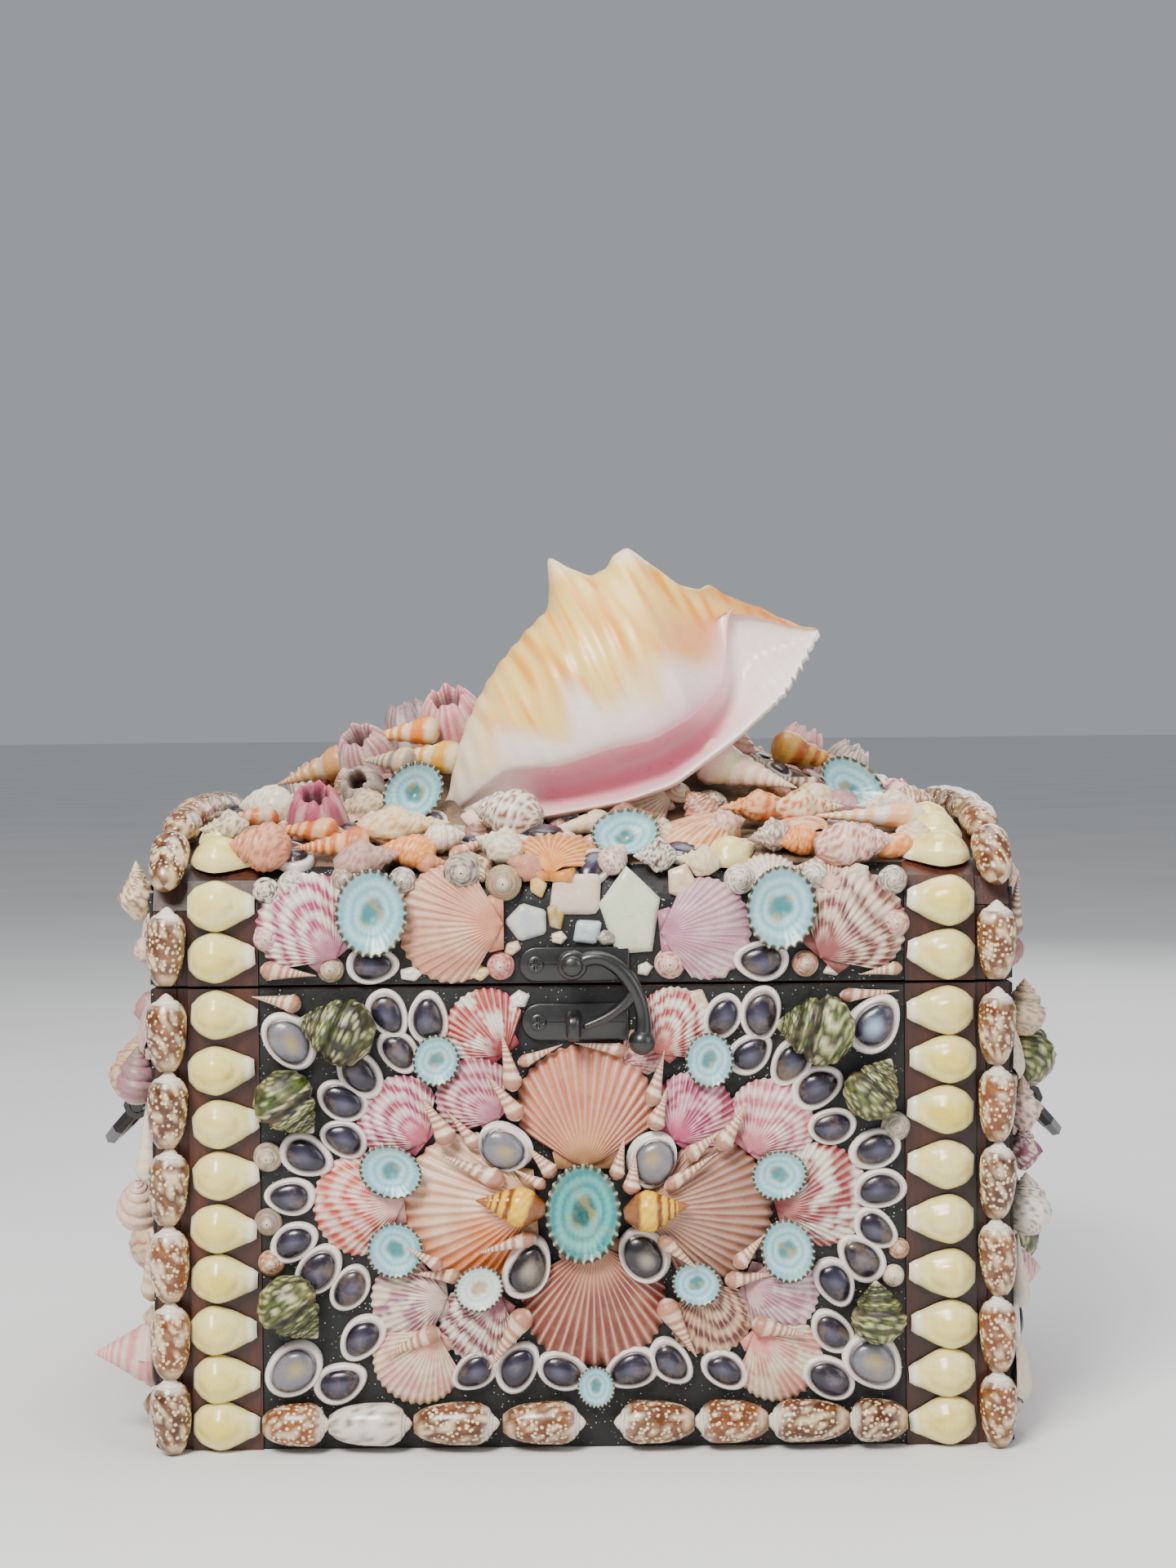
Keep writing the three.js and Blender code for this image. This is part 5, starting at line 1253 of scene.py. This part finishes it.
# By kind: x, y, length, width, turn, lift, tilt, base, marks.
HEAP_SHELLS = {
    "barnacle": [
        (-48, 2, 26, 24, 0, 0, 30, PLUM_PINK, BLUSH), (-80, -8, 22, 22, 10, 0, 30, PURPLE, BLUSH),
        (-64, 14, 22, 22, 50, 1, 10, SILVER, PLUM), (-81, -30, 16, 16, 30, 0, 35, SILVER, GREY),
        (-96, -60, 21, 19, 10, 0, 30, PLUM_PINK, PURPLE), (84, 26, 20, 20, 0, 1, 20, BLUSH, PLUM_PINK),
        (100, 14, 19, 19, 30, 1, 20, WHITE, PURPLE), (-24, 42, 26, 24, 0, 0, 0, PURPLE, BLUSH),
        (24, 60, 26, 24, 20, 0, 0, PLUM_PINK, WHITE), (-104, 34, 22, 20, 20, 0, 0, PURPLE, WHITE),
    ],
    "turret": [
        (-100, -2, 34, 13, 166, 3, 8, rgb(0.83, 0.62, 0.42), SAND),
        (-66, -14, 30, 11, 162, 7, 6, ORANGE, CREAM), (-108, -18, 24, 9, 170, 3, 0, WHITE, SAND),
        (-58, -22, 30, 13, 158, 6, 10, rgb(0.93, 0.7, 0.36), CREAM),
        (-70, -30, 22, 10, 150, 5, 6, SAND, GREY), (-100, -76, 26, 10, 172, 0, 0, PEACH, RUST),
        (-88, -90, 27, 12, 186, 0, 0, RUST, PEACH), (60, -44, 38, 18, -6, 3, 6, BLUSH, CREAM),
        (88, -8, 34, 13, 8, 2, 4, rgb(0.95, 0.75, 0.45), RUST),
        (104, -66, 42, 10, 176, 1, 0, PEACH, WHITE),
        (112, -20, 26, 11, 170, 4, 6, rgb(0.88, 0.78, 0.72), PURPLE),
        (-124, -50, 24, 9, 200, 0, 0, SAND, RUST),
    ],
    "snail": [
        (-27, -66, 27, 20, 158, 1, 0, WHITE, rgb(0.5, 0.3, 0.18)),
        (-113, -92, 22, 19, 172, 0, 0, SALMON, ROSE_BROWN),
        (-61, -92, 20, 13, 170, 0, 0, ORANGE, PEACH), (-48, -84, 15, 12, 20, 0, 0, WHITE, SAND),
        (-118, -40, 22, 18, 160, 0, 0, WHITE, SAND), (12, -94, 13, 11, 60, 0, 0, BLUSH, GREY),
        (40, -58, 15, 14, 150, 3, 20, rgb(0.62, 0.42, 0.32), BLUSH),
        (97, -92, 29, 17, 10, 0, 0, BLUSH, ROSE_BROWN), (77, -88, 14, 12, 200, 0, 0, ORANGE, PEACH),
        (-96, 6, 16, 14, 190, 0, 0, RUST, PEACH), (118, 2, 30, 16, 20, 2, 10, WHITE, PLUM_PINK),
        (126, -36, 18, 15, 20, 0, 0, rgb(0.62, 0.45, 0.34), WHITE),
    ],
    "murex": [
        (-74, -95, 25, 14, 12, 0, 0, rgb(0.8, 0.62, 0.58), GREY),
        (-29, -91, 19, 14, 150, 0, 0, WHITE, SAND), (-80, -44, 24, 13, 160, 2, 0, SAND, GREY),
        (26, -94, 15, 12, 180, 0, 0, WHITE, rgb(0.35, 0.25, 0.2)),
        (67, -86, 17, 12, 200, 0, 0, rgb(0.6, 0.5, 0.45), WHITE),
        (124, -14, 22, 13, 30, 2, 0, PLUM_PINK, WHITE), (41, -96, 16, 11, 170, 0, 0, CREAM, SAND),
        (-63, -80, 33, 15, 10, 1, 0, CREAM, rgb(0.85, 0.66, 0.45)),
        (-128, -76, 18, 13, 190, 0, 0, CREAM, GREY), (63, -60, 26, 12, 190, 3, 0, PEACH, RUST),
        (113, -52, 22, 13, 170, 1, 0, WHITE, SAND), (84, -60, 26, 15, 10, 1, 0, CREAM, RUST),
    ],
    "limpet": [
        (-60, -46, 25, 20, 30, 5, 40, None, None), (16, -84, 25, 19, 10, 3, 34, None, None),
        (99, -22, 29, 20, -10, 6, 40, None, None),
    ],
    "scallop": [
        (-9, -90, 31, 0, 84, 0, 0, ORANGE, rgb(0.9, 0.66, 0.4)),
        (41, -76, 30, 0, 200, 1, 0, PEACH, rgb(0.8, 0.5, 0.3)),
        (-89, -52, 20, 0, 120, 1, 0, SAND, BLUSH), (66, -98, 19, 0, 90, 0, 0, BLUSH, WHITE),
        (78, -72, 26, 0, 150, 1, 0, rgb(0.93, 0.75, 0.6), RUST),
        (88, -98, 18, 0, 80, 0, 0, SALMON, WHITE),
    ],
    "cowrie": [(54, -89, 20, 15, 45, 0, 0, None, None)],
    "olive": [(111, -90, 15, 9, 20, 0, 0, None, None)],
    "button": [(-101, -99, 11, 0, 0, 0, 0, WHITE, GREY), (120, -80, 14, 0, 0, 0, 0, CREAM, SAND)],
}


def heap_shell(kind, length, width, base, marks, seed):
    """The finish it needs and the shell."""
    if kind == "barnacle":
        return "chalky", barnacle(length, base, marks, seed)
    if kind == "turret":
        paint = banded(base, marks, base * 0.8)
        return "satin", turret(length, width, seed, paint, knobs=13 * (seed % 2), ribs=9 * (seed % 3 == 0))
    if kind == "snail":
        return "satin", turban(length, width, seed, mottled(base, marks, 1.8, tip=base))
    if kind == "murex":
        return "chalky", murex(length, width, seed, base, marks)
    if kind == "limpet":
        return "nacre", limpet(length, width, LIMPET_BLUE, seed, 0.24)
    if kind == "scallop":
        style = ("rays", "dash", "blotch")[seed % 3]
        return "satin", scallop(length, base, marks, style, 17, seed, rise=0.26)
    if kind == "cowrie":
        return "polished", money_cowrie(length, width, seed)
    if kind == "olive":
        return "polished", olive(length, width, seed, mottled(ORANGE, PEACH))
    return "satin", button(length, seed, base, marks)


def under_conch(x, y):
    middle_x, middle_y, reach_x, reach_y = CONCH_SHADE
    return math.hypot((x - middle_x) / reach_x, (y - middle_y) / reach_y) < 1


def lay_heap():
    bed = Batch("heap_bed", "lid", GLUE)
    bed.add(bed_form(), np.eye(4))
    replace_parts(bed.build(), "lid_heap")
    batches = zone("heap", "lid")
    taken = []
    rows = [(kind, row) for kind, rows in HEAP_SHELLS.items() for row in rows]
    for i, (kind, (x, y, length, width, turn, lift, tilt, base, marks)) in enumerate(rows):
        finish, shell = heap_shell(kind, length, width, base, marks, i)
        if kind in ("barnacle", "limpet"):
            pose = bed_face(x, y) @ shifted(z=lift) @ turned("X", tilt) @ turned("Z", turn)
        else:
            pose = on(bed_face(x, y), 0, 0, turn, lift, tilt)
        batches[finish].add(shell, pose)
        taken.append((x, y, max(length, width) * 0.34))
    rng = np.random.default_rng(11)

    def spot(source):
        while True:
            x, y = source.uniform(-RIM_SIDE + 4, RIM_SIDE - 4), source.uniform(RIM_FRONT - 4, RIM_BACK - 4)
            if not (under_conch(x, y) or (abs(x) > CORNER_X and y < CORNER_Y)):
                return x, y

    places = scatter(rng, 420, spot, taken, 0.74, (8, 17))
    lay_small(batches, lambda x, y, turn: on(bed_face(x, y), 0, 0, turn, -0.6), places, rng)
    finish_zone(batches)


# ---------- ends and back ----------
HANDLE_POSTS = [(-34, 112), (34, 112)]
# Along each end towards the front: its edge, kept free for the column's olives, and the row of shells by it.
EDGE_OLIVES, EDGE_SHELLS = 98, 87
# x along the end, height, length, turn.
END_SCALLOPS = [(-70, 30, 36, 60), (-4, 26, 38, 100), (66, 30, 36, 80), (-70, 84, 34, 20), (72, 88, 34, 160)]
END_TURBANS = [(-34, 62, 28, 30), (34, 62, 28, 130), (-76, 136, 26, 60), (76, 132, 26, 120)]
LID_END_SCALLOPS = [(-66, 184, 32, 60), (0, 184, 34, 90), (66, 184, 32, 120)]
BACK_SCALLOPS = [(-80, 34, 46, 90), (0, 34, 46, 90), (80, 34, 46, 90), (-40, 80, 46, 90), (40, 80, 46, 90)]
# Kind, height, length, width, turn, base, marks; along the front edge of each end.
END_EDGES = {
    "left": [
        ("scallop", 150, 26, 0, 100, BLUSH, MAUVE), ("snail", 131, 20, 17, 80, GREY, MAUVE),
        ("auger", 108, 33, 9, 95, WHITE, SAND), ("snail", 85, 20, 18, 60, BLUSH, SAND),
        ("auger", 62, 26, 8, 80, SAND, GREY), ("cone", 31, 24, 24, 0, WHITE, PINK),
        ("scallop", 11, 18, 0, 70, WHITE, SAND),
    ],
    "right": [
        ("snail", 155, 20, 16, 90, SAND, GREY), ("scallop", 137, 24, 0, 90, WHITE, SAND),
        ("murex", 118, 20, 13, 80, BLUSH, GREY), ("murex", 103, 18, 13, 100, PURPLE, WHITE),
        ("snail", 82, 22, 18, 70, WHITE, GREY), ("auger", 58, 26, 9, 85, WHITE, SAND),
        ("scallop", 25, 32, 0, 95, WHITE, SAND),
    ],
}
END_HUES = [(BLUSH, CRIMSON), (WHITE, MAUVE), (SALMON, ROSE_BROWN), (SAND, RED), (PINK, WHITE)]


def lay_fans(batches, face, fans, hue, styles, ribs, seed, taken, share=0.42):
    """The scallops of an end or of the back; taken gets the places that they fill."""
    for i, (x, y, length, turn) in enumerate(fans):
        base, marks = END_HUES[(i + hue) % 5]
        shell = scallop(length, base, marks, styles[i % len(styles)], ribs, i + seed)
        batches["satin"].add(shell, on(face, x, y, turn))
        taken.append((x, y, length * share))


def lay_end(side, name, face):
    rng = np.random.default_rng(21 + side)
    batches = zone(f"side_{name}", "chest")
    taken = [(x, y, 9) for x, y in HANDLE_POSTS]
    taken += [(-side * EDGE_OLIVES, y, 6) for y in range(0, 170, 12)]
    lay_fans(batches, face, END_SCALLOPS, side, ("dash", "rays", "blotch"), 19, 0, taken)
    for i, (x, y, length, turn) in enumerate(END_TURBANS):
        paint = mottled(SAND, ROSE_BROWN, 1.4) if i % 2 else turban_paint
        batches["satin"].add(turban(length, length * 0.85, i, paint), on(face, x, y, turn))
        taken.append((x, y, length * 0.42))
    for x, y, size in ((-74, 56, 20), (0, 140, 24)):
        batches["satin"].add(button(size, 3, BLUSH, MAUVE, 0.7), on(face, x, y))
        taken.append((x, y, size / 2))
    for x, turn in ((-36, 170), (36, 10)):
        batches["satin"].add(auger(38, 9, 5, WHITE), on(face, x, 146, turn))
        taken += [(x + step, 146, 5) for step in (-14, -7, 0, 7, 14)]
    batches["chalky"].add(barnacle(26, PLUM_PINK, WHITE, 4, 0.7), on(face, 0, 90))
    taken.append((0, 90, 13))
    edge = -side * EDGE_SHELLS
    for i, (kind, y, length, width, turn, base, marks) in enumerate(END_EDGES[name]):
        if kind == "cone":
            cone = whorled(length, width, banded(base, marks, marks), CONE, 6, 1.4, 0.8, 0.1, 24, 6, squash=1)
            finish, shell = "satin", upright(cone)
        elif kind == "auger":
            finish, shell = "satin", auger(length, width, i, base)
        else:
            finish, shell = heap_shell(kind, length, width, base, marks, i)
        batches[finish].add(shell, on(face, edge, y, turn))
        taken.append((edge, y, 10))
    spot = lambda source: (source.uniform(-92, 92), source.uniform(6, BODY_TOP - 8))
    places = scatter(rng, 260, spot, taken, 0.8, (8, 16))
    lay_small(batches, lambda x, y, turn: on(face, x, y, turn), places, rng)
    finish_zone(batches, f"side_{name}_shells")
    low, high = sorted((side * (HALF_W + GAP), side * (HALF_W + LIFT)))
    board = slab(-HALF_D + 1, HALF_D - 1, FOOT, BODY_TOP - SEAM_ROOM)
    lining(f"side_{name}_ground", "chest", board, low, high)
    lid_batches = zone(f"lid_{name}", "lid")
    taken = []
    lay_fans(lid_batches, face, LID_END_SCALLOPS, 2 * side, ("dash",), 19, 5, taken)
    spot = lambda source: (source.uniform(-90, 90), source.uniform(LID_BOTTOM + 7, 201))
    places = scatter(rng, 90, spot, taken, 0.8, (8, 15))
    lay_small(lid_batches, lambda x, y, turn: on(face, x, y, turn), places, rng)
    finish_zone(lid_batches, f"lid_{name}_shells")
    board = slab(-HALF_D + 1, HALF_D - 1, LID_BOTTOM + SEAM_ROOM, 196)
    lining(f"lid_{name}_ground", "lid", board, low, high)


def lay_lid_back():
    rng = np.random.default_rng(41)
    batches = zone("lid_back", "lid")
    spot = lambda source: (source.uniform(-104, 104), source.uniform(176, 200))
    clear = [(side * 78, y, 16) for side in (-1, 1) for y in (176, 188)]
    places = scatter(rng, 60, spot, clear, 0.85, (9, 15))
    end = OUTLINE_RUN[-1] + LID_BOTTOM
    lay_small(batches, lambda x, y, turn: on(lid_face(end - y), x, 0, turn), places, rng)
    finish_zone(batches)


def lay_back():
    rng = np.random.default_rng(31)
    batches = zone("back", "chest")
    taken = []
    lay_fans(batches, BACK, BACK_SCALLOPS, 0, ("rays",), 21, 9, taken, 0.44)
    for x, y in ((-92, 88), (0, 92), (92, 88)):
        batches["polished"].add(money_cowrie(30, 22, int(x) + 99), on(BACK, x, y, 90))
        taken.append((x, y, 13))
    spot = lambda source: (source.uniform(-106, 106), source.uniform(6, 128))
    places = scatter(rng, 150, spot, taken, 0.84, (9, 16))
    lay_small(batches, lambda x, y, turn: on(BACK, x, y, turn), places, rng)
    finish_zone(batches, "back_shells")
    board = slab(HALF_D + GAP, HALF_D + LIFT, FOOT, BODY_TOP - 3)
    lining("back_ground", "chest", board, -PANEL_HALF, PANEL_HALF)


# ---------- the latch, in its own places on the front: x, height, distance off ----------
PLATE, HOOK_OFF, HOOK_PIVOT, LUG = 1.8, 11.8, (-3.1, 171), (-2.8, 149.2)
# Along the hook: x, height, half its thickness.
HOOK_ARM = [(-3.1, 171, 2.6), (5, 174.2, 2.5), (12, 171, 2.6), (16.5, 166, 2.8), (19.8, 160, 2.7),
            (21.6, 152.5, 2.5), (21, 145.5, 3.4)]
HOOK_TONGUE = [(18.4, 161.5, 2.4), (14.5, 156.6, 2.1), (9, 152.8, 1.8), (1.6, 149.9, 1.3)]


# Of round forms: radius and distance off. The lug's radii are shares of its half width and half height.
EYE = [(2.4, 9.4), (4.4, 9.4), (5.1, 10.2), (5.3, 11.8), (5.1, 13.4), (4.4, 14.2), (2.4, 14.2), (2.4, 9.4)]
PIN = [(0, 1), (4.2, 1), (4.2, 9), (1.8, 9.1), (1.8, 14.3), (3.5, 14.4), (3.7, 15.1), (3.2, 16), (2, 16.7),
       (0, 16.9)]
LUG_PROFILE = [(0, 1), (1.1, 1), (1, 3), (0.94, 12), (0.9, 13.6), (0.7, 14.8), (0.35, 15.3), (0, 15.3)]
BALL, BALL_RADIUS = (20.8, 144.3), 4.7


def plainly(points):
    """A form from a stack of closed rings, with no colours of its own and its faces turned outward."""
    faces = grid_faces(*points.shape[:2], True)
    corners = points.reshape(-1, 3)[faces]
    volume = np.einsum("ij,ij->i", corners[:, 0], np.cross(corners[:, 1], corners[:, 2])).sum()
    volume += np.einsum("ij,ij->i", corners[:, 0], np.cross(corners[:, 2], corners[:, 3])).sum()
    return points, faces if volume > 0 else faces[:, ::-1], np.zeros_like(points), np.zeros(points.shape[:-1])


def round_turn(sides):
    return np.linspace(0, TAU, sides, endpoint=False)[None, :]


def bar(path, sides=16):
    """A round bar along a bend, with rounded ends."""
    path = np.array(path, float)
    for _ in range(3):
        near, far = path[:-1] * 0.75 + path[1:] * 0.25, path[:-1] * 0.25 + path[1:] * 0.75
        path = np.concatenate([path[:1], np.stack([near, far], 1).reshape(-1, 3), path[-1:]])
    way = np.gradient(path[:, :2], axis=0)
    way /= np.hypot(*way.T)[:, None]
    turn = np.radians(np.linspace(90, 0, 6))[:-1, None]
    ends = []
    for at, sign in ((0, -1), (-1, 1)):
        place = path[at, :2] + sign * way[at] * path[at, 2] * np.sin(turn)
        ends.append((np.c_[place, path[at, 2] * np.cos(turn)], np.repeat(way[at][None], len(turn), 0)))
    path = np.concatenate([ends[0][0], path, ends[1][0][::-1]])
    way = np.concatenate([ends[0][1], way, ends[1][1]])
    theta = round_turn(sides)
    x, height, half = path.T[:, :, None]
    across, off = half * np.cos(theta), HOOK_OFF + half * np.sin(theta)
    return plainly(np.stack([x - way[:, 1:] * across, height + way[:, :1] * across, off], -1))


def turned_form(x, height, profile, sides=28):
    """A round form on the front, from a profile of radii and distances off."""
    theta = round_turn(sides)
    radius, off = np.array(profile, float).T[:, :, None]
    across, up = x + radius * np.cos(theta), height + radius * np.sin(theta)
    return plainly(np.stack([across, up, off + 0 * theta], -1))


def plate_form(x0, x1, low, high):
    """A flat plate with a round left end and softened edges."""
    half, middle = (high - low) / 2, (high + low) / 2
    rings = []
    for inset, off in ((half - 0.1, 0.3), (0, 0.3), (0, PLATE - 0.5), (0.2, PLATE - 0.15), (0.6, PLATE),
                       (half - 0.1, PLATE)):
        theta = np.radians(np.linspace(90, 270, 25))
        reach = half - inset
        left = np.c_[x0 + half + reach * np.cos(theta), middle + reach * np.sin(theta)]
        right = [(x1 - min(inset, 1), middle - reach), (x1 - min(inset, 1), middle + reach)]
        rings.append(np.c_[np.r_[left, right], np.full(27, off)])
    return plainly(np.stack(rings))


def screw_head(x, height, radius=2.9):
    """A low domed head with a cross cut in it."""
    theta = round_turn(48)
    rho = np.array([1, 1, 0.94, 0.84, 0.74, 0.66, 0.58, 0.5, 0.4, 0.3, 0.22, 0.14, 0.07, 0])[:, None]
    top = 1.2 * np.sqrt(1 - 0.75 * rho ** 2)
    u, v = rho * np.cos(theta), rho * np.sin(theta)
    cross = smooth(0.2, 0.12, np.minimum(np.abs(u), np.abs(v))) * smooth(0.7, 0.6, rho)
    top = top - 0.75 * cross
    top[0] = -0.4
    return plainly(np.stack([x + radius * u, height + radius * v, PLATE + top], -1))


def lug_form():
    """The post on the lower plate that the hook's tongue goes behind."""
    theta = round_turn(32)
    share, off = np.array(LUG_PROFILE).T[:, :, None]
    square = (np.abs(np.cos(theta)) ** 4 + np.abs(np.sin(theta)) ** 4) ** -0.25
    across = LUG[0] + 2.7 * share * square * np.cos(theta)
    up = LUG[1] + 4.9 * share * square * np.sin(theta)
    return plainly(np.stack([across, up, off + 0 * theta], -1))


def lay_latch():
    ball = [(BALL_RADIUS * math.cos(turn), HOOK_OFF + BALL_RADIUS * math.sin(turn))
            for turn in np.radians(np.linspace(-90, 90, 15))]
    hook = [bar(HOOK_ARM), bar(HOOK_TONGUE), turned_form(*HOOK_PIVOT, EYE), turned_form(*BALL, ball)]
    upper = [plate_form(-21.7, 16.8, 164.4, 176.4), screw_head(-15.9, 170.4), turned_form(*HOOK_PIVOT, PIN)]
    lower = [plate_form(-21.1, 16.3, 143.6, 156.7), screw_head(-15.2, 150.1), lug_form()]
    for name, body, forms in (("latch_hook", "hook", hook), ("latch_plate_lid", "lid", upper),
                              ("latch_plate_body", "chest", lower)):
        batch = Batch(f"{name}_iron", body, IRON, "iron")
        for form in forms:
            batch.add(form, FRONT)
        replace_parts(batch.build(), name)


# ---------- wood and iron ----------
BOARDS = [f"{place}_board" for place in ("bottom", "front", "back", "left", "right", "lid_top")]
BOARDS += ["lid_front_rail", "lid_back_rail", "lid_left_end", "lid_right_end"]
STRAPS = [f"{place}_{side}_strap" for place in ("front", "back", "lid") for side in ("left", "right")]
IRONWORK = [f"hinge_{side}_{leaf}" for side in ("left", "right") for leaf in ("body", "lid")]
IRONWORK += [f"handle_{side}_{part}" for side in ("left", "right")
             for part in ("front_post", "back_post", "bail")]


def finish_boards_and_iron():
    for name in BOARDS + STRAPS:
        finish_node(name, WOOD)
    for name in IRONWORK:
        finish_node(name, IRON, 0.35)


def lay_all():
    lay_front()
    lay_lid_front()
    lay_columns()
    lay_conch()
    lay_heap()
    lay_end(-1, "left", LEFT)
    lay_end(1, "right", RIGHT)
    lay_lid_back()
    lay_back()
    lay_latch()
    finish_boards_and_iron()


# ---------- floor, light and camera ----------
FLOOR_REACH = 40
# Name, place, what it points at, size, power, colour.
LAMPS = [
    ("key", (-0.5, -1.2, 1.3), (0, -0.05, 0.12), 0.6, 46, (1.0, 0.97, 0.92)),
    ("fill", (1.3, -0.9, 0.7), (0, 0, 0.12), 1.0, 9, (0.94, 0.97, 1.0)),
    ("top", (0.1, 0.1, 1.6), (0, 0, 0.2), 0.9, 14, (1, 1, 1)),
    ("rear", (0.6, 1.4, 0.9), (0, 0, 0.12), 1.0, 8, (1, 1, 1)),
]
SKY, SKY_STRENGTH = (0.86, 0.9, 0.95, 1), 0.4
# The camera: place in metres, lens in millimetres, degrees that it looks down and leans.
CAMERA_PLACE, LENS, LOOKS_DOWN, LEANS = (0.0029, -0.950, 0.254), 55.78, 1.4, -0.49


def lay_floor():
    material, tree, shader = new_material("pale_floor")
    soft = noise(tree, object_places(tree), 3.0, 2.0)
    tree.links.new(ramp(tree, soft, (0.3, 0.72), (0.7, 0.78)), shader.inputs["Base Color"])
    shader.inputs["Roughness"].default_value = 0.75
    mesh = bpy.data.meshes.new("floor")
    corners = [(x * FLOOR_REACH, y * FLOOR_REACH, 0) for x, y in ((-1, -1), (1, -1), (1, 1), (-1, 1))]
    mesh.from_pydata(corners, [], [(0, 1, 2, 3)])
    mesh.materials.append(material)
    floor = new_object("floor", mesh)


def light_scene():
    for name, place, target, size, power, colour in LAMPS:
        light = bpy.data.lights.new(name, "AREA")
        light.size = size
        light.energy = power
        light.color = colour
        holder = new_object(name, light)
        holder.location = place
        holder.rotation_euler = (Vector(target) - Vector(place)).to_track_quat("-Z", "Y").to_euler()
    world = bpy.data.worlds.new("studio")
    world.use_nodes = True
    background = world.node_tree.nodes["Background"]
    background.inputs["Color"].default_value = SKY
    background.inputs["Strength"].default_value = SKY_STRENGTH
    bpy.context.scene.world = world


def set_camera():
    camera = bpy.data.cameras.new("camera")
    camera.lens = LENS
    camera.sensor_width = 36
    camera.sensor_fit = "AUTO"
    camera.clip_start = 0.01
    holder = new_object("camera", camera)
    pitch = Matrix.Rotation(math.radians(90 - LOOKS_DOWN), 4, "X")
    roll = Matrix.Rotation(math.radians(LEANS), 4, "Z")
    holder.matrix_world = Matrix.Translation(CAMERA_PLACE) @ pitch @ roll
    bpy.context.scene.camera = holder


lay_all()
lay_floor()
light_scene()
set_camera()
